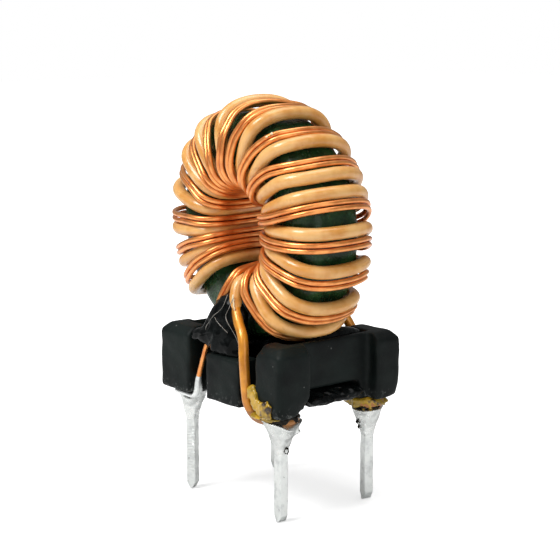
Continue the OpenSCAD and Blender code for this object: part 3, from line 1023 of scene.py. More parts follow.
@dataclass
class Windings:
    """The heavy wire and the pair of fine wires, laid turn by turn.

    Angles round the ring are in degrees, 0 towards +X and 90 at the top, from the first turn to
    the last. A turn runs hole, front, rim, back, hole: stations 0, 1, 2, 3, 4. The pair lies in
    the grooves between the heavy turns in the hole, and down beside its heavy turn where there
    is room. A move is the span of stations over which something passes from one place to the
    next.
    """

    ring: Ring
    base: Layout
    # thickness over the sleeve, gap to the core, bow off the faces and the rim
    heavy_d: float = 0.58
    heavy_gap: float = 0.04
    heavy_bow: float = 0.1
    # powers of a turn's round at the hole and at the rim
    hole_square: float = 3.4
    rim_square: float = 2.5
    # gaps: side by side, and strand to the heavy turn it rests on
    lay_room: float = 0.03
    rest_room: float = 0.05
    front_move: tuple[float, float] = (0.1, 1.8)
    rim_move: tuple[float, float] = (1.4, 2.6)
    back_move: tuple[float, float] = (2.4, 3.8)
    hole_out: tuple[float, float] = (0.0, 0.45)
    join_move: tuple[float, float] = (0.6, 1.2)
    hole_in: tuple[float, float] = (3.5, 4.0)
    # station up to which the heavy lead counts as a turn under the pair
    lead_to: float = 1.2
    # points by which the pair's height is widened and eased
    lift_reach: int = 2
    lift_ease: int = 3
    # angles in the hole of the heavy turns and, last, of the front lead
    hole_angles: tuple[float, ...] = (227, 208, 190, 166, 142, 119, 99, 76.5, 59, 41, 23.5, 6,
                                      -11, -34, -60, -78)
    # angles of the heavy turns at the front and at the back of the rim
    rim_front_angles: tuple[float, ...] = (220, 204, 184, 163, 141, 123, 99, 69, 48, 29, 21, 3,
                                           -15, -34, -51)
    rim_back_angles: tuple[float, ...] = (217, 200, 184, 161, 137, 123, 91, 66, 45, 29, 20, 3,
                                          -14, -35, -51)
    # angles at which each pair leaves the hole and at which it is back in it
    pair_out_angles: tuple[float, ...] = (216, 199, 178, 154, 131.5, 115.5, 99.5, 82.5, 65.5,
                                          49.5, 16, -2, -22, -46, -66)
    pair_in_angles: tuple[float, ...] = (199, 178, 155, 132, 115, 98, 81, 64, 47, 31, -2, -21,
                                         -45, -69, -92)
    # side of its heavy turn on which each pair lies, 1 for the later one, and how far it strays
    pair_side: tuple[int, ...] = (1, 1, 1, 1, 1, 1, 1, -1, -1, -1, 1, 1, 1, 1, 1)
    pair_stray: tuple[float, ...] = (0, 0, 0, 0.35, 0.1, 0.1, 0.07, 0.02, 0.04, 0.05, 0, 0, 0,
                                     0, 0.05)
    # points on a turn and on a stretch of a lead
    turn_points: int = 72
    lead_points: int = 12
    # sides of the tubes, neighbours taken in to ease their bends, spacing along them
    heavy_sides: int = 20
    fine_sides: int = 12
    bare_sides: int = 16
    ease: int = 3
    heavy_step: float = 0.12
    lead_step: float = 0.08
    fine_step: float = 0.11
    tin_step: float = 0.03
    # sleeve: thickness at its torn end, length over which it thins, share its radius wanders
    torn_skin: float = 0.015
    fray: float = 0.35
    wander: float = 0.012
    # least and added thickness of the tin on a fine wire, and the sides of its tube
    tin_film: float = 0.006
    tin_belly: float = 0.03
    tin_sides: int = 24
    sleeve: SleeveFinish = SleeveFinish()
    copper: EnamelFinish = EnamelFinish()
    # the heavy leads are a darker brown below 0.05 mm, given in the slot named tin
    bare: EnamelFinish = EnamelFinish("bare_lead", (0.72, 0.29, 0.018), (0.40, 0.12, 0.01), 0.35,
                                      0.3, tin=(0.34, 0.13, 0.02), tin_level=0.05)
    tinned: TinFinish = TinFinish("tinned_wire")
    # heights between which the fine wires' front leads are tinned
    tin_span: tuple[float, float] = (0.78, -0.1)
    heavy_in_hole: Array = field(init=False)
    pair_out: Array = field(init=False)
    pair_in: Array = field(init=False)

    def __post_init__(self) -> None:
        """Spreads the angles in the hole so that no two turns share a place."""
        deg, b = math.degrees(1), self.base
        left = self.ring.inner_r - self.heavy_gap
        heavy_fit = deg * (self.heavy_d + self.lay_room) / (left - self.heavy_d / 2)
        pair_fit = deg * (b.pair_w + b.pair_gap) / (
            left - self.heavy_d - self.rest_room - b.strand_d / 2)
        lead_fit = deg * ((self.heavy_d + b.pair_w) / 2 + self.lay_room) / self.ring.inner_r
        self.pair_out = self._spread(self.pair_out_angles, pair_fit)
        self.heavy_in_hole = self._spread(self.hole_angles, heavy_fit)
        self.heavy_in_hole[-1] = min(self.heavy_in_hole[-1], self.pair_out[-1] - lead_fit)
        last = min(self.pair_in_angles[-1], self.heavy_in_hole[-1] - lead_fit)
        self.pair_in = self._spread((*self.pair_in_angles[:-1], last), pair_fit)

    @property
    def turns(self) -> int:
        """Number of turns."""
        return len(self.rim_front_angles)

    @property
    def off(self) -> float:
        """Distance of the heavy wire's middle from the core's skin."""
        return self.heavy_d / 2 + self.heavy_gap

    @property
    def deep(self) -> float:
        """Half the depth of a heavy turn's round, along the ring's axis."""
        return self.ring.half_t + self.off + self.heavy_bow

    @property
    def touch(self) -> float:
        """Distance between the middles of a fine wire and the heavy wire it lies on."""
        return (self.heavy_d + self.base.strand_d) / 2 + self.rest_room

    @staticmethod
    def _spread(angles: Sequence[float], gap: float) -> Array:
        """Angles with each at least gap below the one before."""
        return np.array(list(accumulate(angles, lambda a, b: min(b, a - gap))), float)

    # heavy wire

    def loop(self, s: Array, lift: Array | float = 0.0) -> tuple[Array, Array, Array, Array]:
        """The round that a stiff wire takes about the core's section.

        A superellipse: half widths times the cosine and sine of the angle round the section,
        each to the power 2 / n with its sign. It clears the core by the gap at the edges and
        bows off the middle of the faces.

        Args:
            s: stations, 0 the hole wall, 1 the front face, 2 the rim, 3 the back face.
            lift: height of the line over the middle of the heavy wire.

        Returns:
            Radius, place along the axis, and the radial and axial parts of the outward normal.
        """
        g = self.ring
        t = np.pi * (1 + np.asarray(s, float) / 2)
        out = (1 + np.cos(t)) / 2
        wide = (g.outer_r - g.inner_r) / 2 + self.off + self.heavy_bow * out
        n = mix(self.hole_square, self.rim_square, out)
        cos, sin = powered(np.cos(t), 2 / n), powered(np.sin(t), 2 / n)
        nr, ny = powered(cos, n - 1) / wide, powered(sin, n - 1) / self.deep
        size = np.hypot(nr, ny)
        nr, ny = nr / size, ny / size
        middle = (g.outer_r + g.inner_r) / 2
        return middle + wide * cos + lift * nr, self.deep * sin + lift * ny, nr, ny

    def heavy_outside(self, s: Array, i: int) -> Array:
        """Angle of heavy turn i from the hole to the end of the rim.

        Args:
            s: stations.
            i: number of the turn, from 0.

        Returns:
            The angle at each station, in degrees.
        """
        front, back = self.rim_front_angles[i], self.rim_back_angles[i]
        return mix(self.heavy_in_hole[i], front, smooth(part(s, self.front_move))) \
            + (back - front) * part(s, self.rim_move)

    def heavy_angle(self, s: Array, i: int) -> Array:
        """Angle of heavy turn i at stations s, or of the lead where i is the number of turns.

        Args:
            s: stations.
            i: number of the turn, from 0.

        Returns:
            The angle at each station, in degrees.
        """
        if i == self.turns:
            return np.full(np.shape(s), self.heavy_in_hole[-1])
        return mix(self.heavy_outside(s, i), self.heavy_in_hole[i + 1],
                   smooth(part(s, self.back_move)))

    def heavy_point(self, s: Any, angle: Any) -> Array:
        """Middle of the heavy wire at stations and angles."""
        r, y, _, _ = self.loop(s)
        return self.ring.place(r, y, angle)

    def heavy_turns(self) -> Array:
        """Middle line of all heavy turns."""
        s = np.linspace(0, 4, self.turn_points, endpoint=False)
        return np.vstack([self.heavy_point(s, self.heavy_angle(s, i)) for i in range(self.turns)])

    def _wrap_heavy(self, side: int) -> Array:
        """Control points of the bare lead round the front pin, side -1, or the right one, side 1.

        Args:
            side: -1 for the front pin, 1 for the right one.

        Returns:
            The points, one a row.
        """
        b = self.base
        r, z = b.heavy_wrap
        ring = around(b.pin_x, side * b.pin_y, r, 95 * side, -150 * side, 9)
        return np.column_stack([ring, np.full(len(ring), z)])

    def heavy_front_lead(self) -> Array:
        """Middle line from the last turn down the front slot and round the front pin.

        Returns:
            The points of the line, one a row.
        """
        b, g, last = self.base, self.ring, self.heavy_in_hole[-1]
        middle = (g.outer_r + g.inner_r) / 2
        start = self.heavy_point(np.array([0, 0.2]), np.array([last, last]))
        wrap_r, wrap_z = b.heavy_wrap
        free = [g.place(g.inner_r - 0.22, 0.5 - self.deep, last - 1),
                g.place(g.inner_r - 0.05, -self.deep - 0.02, last - 1.5),
                g.place(g.inner_r + 0.68, -self.deep - 0.35, last),
                g.place(middle + 0.25, -self.deep - self.touch - self.heavy_d / 2 + 0.1, -73),
                [b.heavy_slot_x - 0.4, -b.slot_y - 0.06, b.base_h + 0.1],
                [b.heavy_slot_x - 0.1, -b.slot_y - 0.23, b.base_h * 0.67],
                [b.heavy_slot_x + 0.02, -b.slot_y - 0.23, b.base_h * 0.3],
                [b.heavy_slot_x + 0.12, -b.slot_y - 0.18, 0.28],
                [b.pin_x - 0.85, -b.pin_y - wrap_r - 0.08, wrap_z + 0.04]]
        return curve(np.vstack([start, free, self._wrap_heavy(-1)]), self.lead_points)

    def heavy_back_lead(self) -> Array:
        """Middle line from the first turn down the back slot and round the right pin.

        Returns:
            The points of the line, one a row.
        """
        b, g, first = self.base, self.ring, self.heavy_in_hole[0]
        start = self.heavy_point(4 - 0.2 * np.arange(4), first + 2 * np.arange(4))
        wrap_r, wrap_z = b.heavy_wrap
        free = [g.place(g.inner_r + 0.35, self.deep + 0.37, first + 25),
                [b.heavy_back_x - 1.3, b.slot_y - 0.77, b.base_h + 1],
                [b.heavy_back_x - 0.45, b.slot_y - 0.17, b.base_h + 0.25],
                [b.heavy_back_x, b.slot_y + 0.18, b.base_h * 0.7],
                [b.heavy_back_x + 0.1, b.slot_y + 0.2, b.base_h * 0.3],
                [b.heavy_back_x + 0.2, b.slot_y + 0.16, 0.08],
                [b.pin_x - 1.2, b.pin_y + wrap_r + 0.1, wrap_z - 0.03]]
        return curve(np.vstack([start, free, self._wrap_heavy(1)]), self.lead_points)

    def build_heavy(self) -> None:
        """The insulated turns with a torn end at each lead, and the bare leads out of them."""
        front, back = self.heavy_front_lead(), self.heavy_back_lead()
        cut = 4 * self.lead_points + self.lead_points // 3
        whole = np.vstack([back[cut:0:-1], self.heavy_turns(), front[:cut + 1]])
        path = relaxed(even(whole, self.heavy_step), self.ease)
        run = lengths(path)
        a = np.linspace(0, 2 * np.pi, self.heavy_sides, endpoint=False)[None]
        end = np.minimum(run, run[-1] - run)[:, None]
        # the sleeve thins and frays towards both ends
        thin = smooth((end + 0.12 * np.sin(3 * a + 1) + 0.08 * np.sin(5 * a)) / self.fray)
        radius = mix(self.base.lead_d / 2 + self.torn_skin, self.heavy_d / 2, thin)
        slow = np.sin(run[:, None] * 2.3 + a) * np.sin(run[:, None] * 0.7)
        radius = radius * (1 + self.wander * slow)
        show("heavy_sleeve", swept(path, radius, self.heavy_sides), self.sleeve.material(),
             ["heavy_winding"])
        bare = self.bare.material()
        for name, lead in (("heavy_lead_front", front), ("heavy_lead_right", back)):
            line = even(lead[cut - self.lead_points // 2:], self.lead_step)
            show(name, swept(line, self.base.lead_d / 2, self.bare_sides), bare)

    # pair of fine wires

    def pair_angle(self, s: Array, i: int, r: Array) -> Array:
        """Angle of pair i at stations s and radii r.

        It leaves the hole at its own angle, comes beside its heavy turn across the front face,
        follows it round the rim, and drifts to its angle in the hole over the back face.

        Args:
            s: stations.
            i: number of the turn, from 0.
            r: radius at each station.

        Returns:
            The angle at each station, in degrees.
        """
        home = self.pair_in[i]
        first = self.pair_out[0] if i == 0 else (self.pair_out[i] + self.pair_in[i - 1]) / 2
        last = home if i == self.turns - 1 else (home + self.pair_out[i + 1]) / 2
        beside = np.degrees(self.pair_side[i] * (self.heavy_d / 2 + self.base.pair_w / 2
                                                 + self.lay_room + self.pair_stray[i]) / r)
        leaving = mix(first, self.pair_out[i], smooth(part(s, self.hole_out)))
        outside = mix(leaving, self.heavy_outside(s, i) - beside, smooth(part(s, self.join_move)))
        return mix(outside, home, smooth(part(s, self.back_move))) \
            + (last - home) * smooth(part(s, self.hole_in))

    def pair_lift(self, s: Array, i: int, angle: Array, r: Array) -> Array:
        """Height of the pair's middle over the heavy wire's as it lies in the groove.

        Each strand rests on the nearest heavy turns: the height is the root of their touching
        distance squared less the sideways distance squared. It is 0 where none is in reach, so
        the pair is nowhere lower than the middle of the heavy wire. The sideways distance is
        taken square to the turn: the distance round the ring times the cosine of its slant.

        Args:
            s: stations.
            i: number of the turn, from 0.
            angle: the pair's angle at each station, in degrees.
            r: radius at each station.

        Returns:
            The height at each station.
        """
        b = self.base
        lift = np.zeros(len(s))
        radius, depth, _, _ = self.loop(s)
        run = np.hypot(np.gradient(radius, s), np.gradient(depth, s))
        for j in range(max(0, i - 2), min(self.turns, i + 2) + 1):
            turn = self.heavy_angle(s, j)
            slant = run / np.hypot(run, np.gradient(np.radians(turn), s) * r)
            near = np.maximum(0, np.abs(np.radians(turn - angle) * r) * slant - b.pair_half)
            rest = np.sqrt(np.maximum(0, self.touch ** 2 - near ** 2))
            there = s < self.lead_to if j == self.turns else s < 5
            lift = np.where(there, np.maximum(lift, rest), lift)
        return lift

    def pair_turns(self) -> tuple[Array, Array]:
        """Middle line of all turns of the pair and its outward normals.

        Returns:
            The points and the unit normals, one a row.
        """
        s = np.linspace(0, 4, self.turn_points, endpoint=False)
        r = self.loop(s)[0]
        angles = [self.pair_angle(s, i, r) for i in range(self.turns)]
        lift = np.concatenate([self.pair_lift(s, i, a, r) for i, a in enumerate(angles)])
        reach = range(-self.lift_reach, self.lift_reach + 1)
        lift = np.maximum.reduce([np.roll(lift, k) for k in reach])
        lift = relaxed(lift[:, None], self.lift_ease)[:, 0]
        r, y, nr, ny = self.loop(np.tile(s, self.turns), lift)
        angle = np.concatenate(angles)
        return self.ring.place(r, y, angle), self.ring.polar(nr, ny, angle)

    def pair_at(self, s: Any, angle: Any) -> tuple[Array, Array]:
        """Middle and outward normal of the pair lying on top of a heavy turn."""
        r, y, nr, ny = self.loop(s, self.touch)
        return self.ring.place(r, y, angle), self.ring.polar(nr, ny, angle)

    def _wrap_pair(self, x: float, y: float, first: float, last: float) -> Array:
        """Middle and side way of the pair round a pin, six numbers a row.

        Args:
            x: X of the pin's axis.
            y: Y of the pin's axis.
            first: angle at which it starts, in degrees.
            last: angle at which it ends.

        Returns:
            The rows.
        """
        r, z = self.base.pair_wrap
        way = around(0, 0, 1, first, last, 11)
        return np.column_stack([x + r * way[:, 0], y + r * way[:, 1], np.full(11, z),
                                -way[:, 0], -way[:, 1], np.zeros(11)])

    def fine_front_lead(self) -> Array:
        """Control rows of the pair's lead down the front: middle, then way to the first wire.

        Returns:
            The rows, six numbers each.
        """
        b, g, last = self.base, self.ring, self.pair_in[-1]
        start = self.pair_at([0, 0.35, 0.42, 0.5], last)[0]
        rows = np.column_stack([start, np.repeat([[-1, 0, 0]], 4, 0)])
        wrap_r, wrap_z = b.pair_wrap
        wrap_y = -b.pin_y - wrap_r
        leave = g.place(g.inner_r + 0.6, -self.deep - self.touch, last - 4)
        over = g.place(g.outer_r - 0.73, -self.deep - self.touch - 0.29, (last - 106) / 2)
        x, y, h = b.fine_slot_x, -b.slot_y, b.base_h
        free = [[*leave, -0.94, 0, 0.33],
                [*over, -0.8, 0.5, 0.1],
                [x + 0.62, y + 0.02, h * 0.78, -0.7, 0.7, 0],
                [x + 0.35, y - 0.03, h * 0.53, -0.77, 0.64, 0],
                [x, y, h * 0.25, -0.77, 0.64, 0],
                [x - 0.1, wrap_y - 0.04, 0.1, -0.5, 0.85, 0],
                [x - 0.28, wrap_y - 0.01, wrap_z + 0.01, 0, 1, 0],
                [-b.pin_x + 0.55, wrap_y, wrap_z, 0, 1, 0]]
        return np.vstack([rows, free, self._wrap_pair(-b.pin_x, -b.pin_y, -88, -375)])

    def fine_back_lead(self) -> Array:
        """Control rows of the pair's lead down the back.

        Returns:
            The rows, six numbers each.
        """
        b, g, first = self.base, self.ring, self.pair_out[0]
        s = 4 - np.array([0.0, 0.35, 0.42, 0.5])
        middle, out = self.pair_at(s, first + 1.5 * np.arange(4))
        out[2:] = g.polar(-1.0, 0.0, first)
        rows = np.column_stack([middle, np.cross(g.turned(np.array([0.0, -1, 0])), out)])
        wrap_r, wrap_z = b.pair_wrap
        wrap_y = b.pin_y + wrap_r
        leave = g.place(g.inner_r + 1, self.deep + self.touch + 0.2, first + 13)
        x, y, h = b.fine_back_x, b.slot_y, b.base_h
        free = [[*leave, -0.93, 0, 0.35],
                [x - 0.45, y - 0.47, h + 0.8, -0.9, -0.4, 0],
                [x - 0.2, y - 0.07, h * 0.9, -0.5, -0.86, 0],
                [x, y + 0.08, h * 0.6, 0, -1, 0],
                [x + 0.1, y + 0.06, h * 0.27, 0, -1, 0],
                [x + 0.14, wrap_y + 0.06, 0.1, 0, -1, 0],
                [x - 0.06, wrap_y, wrap_z, 0, -1, 0],
                [-b.pin_x + 0.55, wrap_y, wrap_z, 0, -1, 0]]
        return np.vstack([rows, free, self._wrap_pair(-b.pin_x, b.pin_y, 88, 375)])

    def fine_route(self, side: int) -> Array:
        """Middle line of one wire of the pair, on side 1 or -1 of the pair's middle.

        Args:
            side: 1 for the first wire, -1 for the second.

        Returns:
            The points of the line, one a row.
        """
        middle, out = self.pair_turns()
        off = side * self.base.pair_half

        def lead(rows: Array) -> Array:
            """One wire of a lead."""
            return curve(rows[:, :3] + off * unit(rows[:, 3:]), self.lead_points)

        turns = middle + off * unit(np.cross(ways(middle), out))
        return np.vstack([lead(self.fine_back_lead())[::-1], turns[1:],
                          lead(self.fine_front_lead())])

    def _tin(self, name: str, path: Array) -> None:
        """A spindle of solder round the end of a fine wire's front lead.

        Args:
            name: name of the piece.
            path: middle line of the whole wire.
        """
        start = np.flatnonzero(path[:, 2] > self.tin_span[0])[-1]
        stop = start + np.flatnonzero(path[start:, 2] < self.tin_span[1])[0]
        line = even(path[start:stop + 1], self.tin_step)
        t = lengths(line) / lengths(line)[-1]
        belly = self.tin_belly * np.sin(np.pi * np.clip(t, 0, 1)) ** 0.7
        radius = self.base.strand_d / 2 + self.tin_film + belly
        show(name, swept(line, radius, self.tin_sides), self.tinned.material())

    def build_fine(self) -> None:
        """Both wires of the pair."""
        copper = self.copper.material()
        for name, side in (("fine_wire_a", 1), ("fine_wire_b", -1)):
            path = relaxed(even(self.fine_route(side), self.fine_step), self.ease)
            self._tin(f"{name}_tinned", path)
            show(f"{name}_copper", swept(path, self.base.strand_d / 2, self.fine_sides), copper,
                 [name])


# ---------------------------------------------------------------- base, pins, solder

@dataclass
class Base:
    """The moulded base, its edges worn round."""

    finish: MouldedFinish = MouldedFinish()
    voxel: float = 0.075
    wear: int = 18
    # unevenness of the faces: height along each axis, and length of its waves
    uneven: Point = (0.012, 0.012, 0.0072)
    uneven_wave: float = 0.9
    # where a corner is chipped: point, how it is pushed, reach
    chips: tuple[tuple[Point, Point, float], ...] = (
        ((4.3, -1.85, 0.0), (-0.1, -0.25, 0.25), 0.55),
        ((2.6, -3.55, 3.0), (0.08, 0.06, -0.1), 0.5),
        ((4.3, 3.55, 0.0), (-0.05, -0.1, 0.1), 0.5),
    )

    def build(self) -> bpy.types.Object:
        """The base remade on a fine grid, smoothed, and chipped at a few corners.

        Returns:
            The piece that stands for the base.
        """
        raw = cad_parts["base"].data.copy()
        raw.transform(Matrix.Scale(1 / MM, 4))
        draft = bpy.data.objects.new("base_draft", raw)
        bpy.context.scene.collection.objects.link(draft)
        grid = draft.modifiers.new("grid", "REMESH")
        grid.mode, grid.voxel_size, grid.use_smooth_shade = "VOXEL", self.voxel, True
        worn = draft.modifiers.new("worn", "SMOOTH")
        worn.factor, worn.iterations = 0.5, self.wear
        mesh = bpy.data.meshes.new_from_object(
            draft.evaluated_get(bpy.context.evaluated_depsgraph_get()))
        bpy.data.objects.remove(draft)
        bpy.data.meshes.remove(raw)
        points = np.empty(3 * len(mesh.vertices))
        mesh.vertices.foreach_get("co", points)
        points = points.reshape(-1, 3)
        for spot, push, reach in self.chips:
            near = np.exp(-(np.linalg.norm(points - spot, axis=1) / reach) ** 2)
            points = points + near[:, None] * np.array(push)
        points = points + ripple(points, self.uneven_wave, 29)[:, None] * np.array(self.uneven)
        mesh.vertices.foreach_set("co", (points * MM).ravel())
        mesh.update()
        return show("base_moulded", mesh, self.finish.material(), ["base"])


@dataclass
class Pins:
    """The four square pins with softened edges and a blunt point."""

    base: Layout
    finish: TinFinish = TinFinish()
    up: float = 2.0
    tip_len: float = 0.3
    tip_w: float = 0.1
    score: float = 0.018
    score_pitch: float = 0.14
    score_span: tuple[float, float] = (-4.2, -1.7)
    score_fade: float = 0.3
    # middle of the scored face in degrees, and how far the score reaches round in radians
    score_at: float = 290.0
    score_reach: float = 0.5
    skin: float = 0.008
    skin_wave: float = 0.5
    rows: int = 240
    sides: int = 48

    def build(self) -> None:
        """Each pin is a rounded square carried down its axis.

        The outline is a superellipse: the cosine and sine of the angle, each to the power 2 / n
        with its sign, so that the sides are flat and the corners round. At the point the width
        across X narrows and the thickness stays. The left pin is scored across.
        """
        material = self.finish.material()
        a = np.linspace(0, 2 * np.pi, self.sides, endpoint=False)[None]
        half = self.base.pin_w / 2
        z = np.concatenate([np.linspace(self.up, -self.base.pin_len + self.tip_len, self.rows),
                            np.linspace(-self.base.pin_len + self.tip_len, -self.base.pin_len,
                                        8)[1:]])[:, None]
        narrow = np.clip((z + self.base.pin_len) / self.tip_len, 0, 1)
        wide = mix(self.tip_w / 2, half, narrow)
        for corner in Corner:
            x = wide * powered(np.cos(a), 2 / PIN_SQUARE)
            y = half * powered(np.sin(a), 2 / PIN_SQUARE) * np.ones_like(z)
            turn = math.radians(corner.value[2])
            px, py = self.base.pin(corner)
            spot = np.stack([px + x * math.cos(turn) - y * math.sin(turn),
                             py + x * math.sin(turn) + y * math.cos(turn),
                             np.broadcast_to(z, x.shape)], -1)
            axis = np.array([px, py, 0]) + spot * [0, 0, 1]
            skin = self.skin * ripple(spot, self.skin_wave, 31)
            if corner is Corner.LEFT:
                low, high = self.score_span
                there = smooth((z - low) / self.score_fade) * smooth((high - z) / self.score_fade)
                skin = skin + self.score * there * np.sin(2 * np.pi * z / self.score_pitch) \
                    * np.exp(-((a - math.radians(self.score_at)) / self.score_reach) ** 2)
            spot = spot + unit(spot - axis) * skin[..., None]
            show(f"pin_{corner.node}_tinned", Surface(spot, self.up - z[:, 0]), material,
                 [f"pin_{corner.node}"])


@dataclass(frozen=True)
class Joint:
    """One fillet of solder: its rim, its reach down the pin, and what makes it uneven.

    Angles are in degrees and lengths in millimetres. A rise lifts the rim where its height is
    above 0 and notches it where it is below; its width is an angle.
    """

    corner: Corner
    top: float
    radius: float
    length: float
    slope: float
    rises: tuple[Bump, ...] = ()
    bumps: tuple[Bump, ...] = ()


@dataclass
class Solder:
    """The four fillets, each lumpy in its own way."""

    base: Layout
    finish: TinFinish = TinFinish("solder", (0.80, 0.82, 0.80), (0.36, 0.38, 0.37),
                                  (0.07, 0.06, 0.05), 0.27, 0.66)
    joints: tuple[Joint, ...] = (
        Joint(Corner.FRONT, -0.3, 0.92, 1.6, 1.55,
              (Bump(-130, 0, 55, 0.18), Bump(50, 0, 25, 0.02), Bump(-12, 0, 26, -0.26)),
              (Bump(35, -0.8, 0.13, 0.22), Bump(-130, -0.9, 0.3, -0.03))),
        Joint(Corner.LEFT, -0.2, 0.6, 1.5, 1.5,
              (Bump(-125, 0, 35, 0.08), Bump(-50, 0, 34, -0.26), Bump(40, 0, 40, 0.1)),
              (Bump(30, -0.45, 0.3, 0.14), Bump(20, -0.95, 0.25, 0.08))),
        Joint(Corner.RIGHT, -0.55, 0.7, 1.35, 1.2,
              (Bump(60, 0, 50, 0.05), Bump(-60, 0, 40, -0.05)),
              (Bump(-100, -1.2, 0.09, -0.12), Bump(-98, -1.45, 0.07, -0.09))),
        Joint(Corner.BACK, -0.25, 0.6, 1.4, 1.6, (Bump(120, 0, 60, 0.08),),
              (Bump(120, -0.55, 0.2, 0.08),)),
    )
    rough: float = 0.018
    wave: float = 0.4
    # depth and share of the rim's rounding, stand-off at the rim, and sinking at the end
    rim_drop: float = 0.05
    rim_share: float = 0.12
    collar: float = 0.015
    sink: float = 0.012
    # share of the flare over which the unevenness dies out at its end
    fade: float = 0.15
    lid_rows: int = 14
    sides: int = 96
    rows: int = 70

    def pin_reach(self, turn: Array) -> Array:
        """How far the pin's rounded square reaches at angles from its own X, in radians."""
        flat = np.abs(np.cos(turn)) ** PIN_SQUARE + np.abs(np.sin(turn)) ** PIN_SQUARE
        return self.base.pin_w / 2 / flat ** (1 / PIN_SQUARE)

    def fillet(self, joint: Joint, seed: int) -> Surface:
        """The rim's lid, then a hollow flare that runs out on the pin's faces.

        The flare stands off the pin by what the rim does times one less the share of the way
        down, to the power of the slope.

        Args:
            joint: what to build.
            seed: seed of the ripple.

        Returns:
            The closed surface.
        """
        a = np.linspace(0, 2 * np.pi, self.sides, endpoint=False)[None]
        x, y = self.base.pin(joint.corner)
        pin = self.pin_reach(a - math.radians(joint.corner.value[2]))
        lift = sum((b.rise(a) for b in joint.rises), np.zeros_like(a))
        lid = np.linspace(0.03, 1, self.lid_rows, endpoint=False)[:, None]
        down = np.linspace(0, 1, self.rows)[:, None]
        off = (joint.radius - pin) * (1 - down) ** joint.slope \
            + self.collar * (1 - down) - self.sink * down
        round_rim = self.rim_drop * np.sqrt(np.clip(1 - (1 - lid) / self.rim_share, 0, 1))
        r = np.vstack([lid * (joint.radius + self.collar) * np.ones_like(a), pin + off])
        z = np.vstack([joint.top + lift * lid ** 2 - round_rim,
                       joint.top - self.rim_drop + lift * (1 - down) ** 2 - joint.length * down])
        plain = np.stack([x + r * np.cos(a), y + r * np.sin(a), z], -1)
        grow = self.rough * ripple(plain, self.wave, seed)
        for b in joint.bumps:
            grow = grow + b.swell(a, r, z)
        fade = np.vstack([lid, np.clip((1 - down) / self.fade, 0, 1)])
        r = r + grow * fade
        points = np.stack([x + r * np.cos(a), y + r * np.sin(a), z], -1)
        return Surface(points, joint.top - z.mean(1))

    def build(self) -> None:
        """A fillet at each pin."""
        material = self.finish.material()
        for seed, joint in enumerate(self.joints, 40):
            node = f"solder_{joint.corner.node}"
            show(f"{node}_lumpy", self.fillet(joint, seed), material, [node])


# ---------------------------------------------------------------- glue and what the soldering left

@dataclass
class Glue:
    """Black glue under the ring, in front of it and in the tunnel."""

    finish: GlueFinish = GlueFinish()
    mound: Pad = Pad((
        (-2.3, -3.1, 2.72), (-2.25, -3.12, 2.45), (-1.65, -3.15, 2.44), (-1.22, -3.12, 2.36),
        (-0.73, -3.1, 2.22), (-0.31, -3.1, 2.03), (0.45, -3.0, 1.98), (0.95, -2.95, 2.1),
        (1.1, -2.8, 2.9), (0.95, -2.7, 3.7), (0.6, -2.65, 4.4), (0.15, -2.6, 4.72),
        (-0.4, -2.6, 4.72), (-0.85, -2.65, 4.45), (-1.08, -2.75, 4.0), (-1.28, -2.85, 3.5),
        (-1.55, -2.95, 3.12), (-2.0, -3.05, 2.95)),
        (-0.35, -2.9, 3.0), (0.0, -1.0, 0.12), 1.1, 60, 0.06, 0.55, 51)
    heel: Pad = Pad((
        (3.1, -1.3, 2.75), (3.1, -0.9, 3.02), (3.1, 0.0, 3.22), (3.1, 0.8, 3.28),
        (3.1, 1.5, 3.22), (3.1, 2.0, 2.9), (3.1, 0.4, 2.4)),
        (3.1, 0.3, 2.85), (1.0, 0.0, 0.0), 0.7, 40, 0.03, 0.6, 53)
    fill: Pad = Pad((
        (-3.25, -1.5, 0.42), (3.2, -1.5, 0.42), (4.1, -1.5, 0.42), (4.2, -0.8, 0.42),
        (4.15, 0.2, 0.42), (4.2, 0.9, 0.42), (4.1, 1.5, 0.42), (3.2, 1.5, 0.42),
        (-3.25, 1.5, 0.42)),
        (0.4, 0.0, 0.5), (0.0, 0.0, 1.0), 1.0, 60, 0.09, 0.4, 54, steps=0)
    drip: Lump = Lump((-2.88, -2.98, -0.17), (0.34, 0.22, 0.17), 0.12, 0.3, 55, (30, 36))

    def build(self) -> None:
        """The lumpy masses, and the finish of the bed under the ring."""
        material = self.finish.material()
        for name, lump, replaces in (("glue_mound", self.mound, ["glue_front"]),
                                     ("glue_heel", self.heel, []), ("glue_drip", self.drip, []),
                                     ("glue_fill", self.fill, ["glue_tunnel"])):
            show(name, lump.shape(), material, replaces)
        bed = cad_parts["glue_bed"]
        bed.data.materials.clear()
        bed.data.materials.append(material)


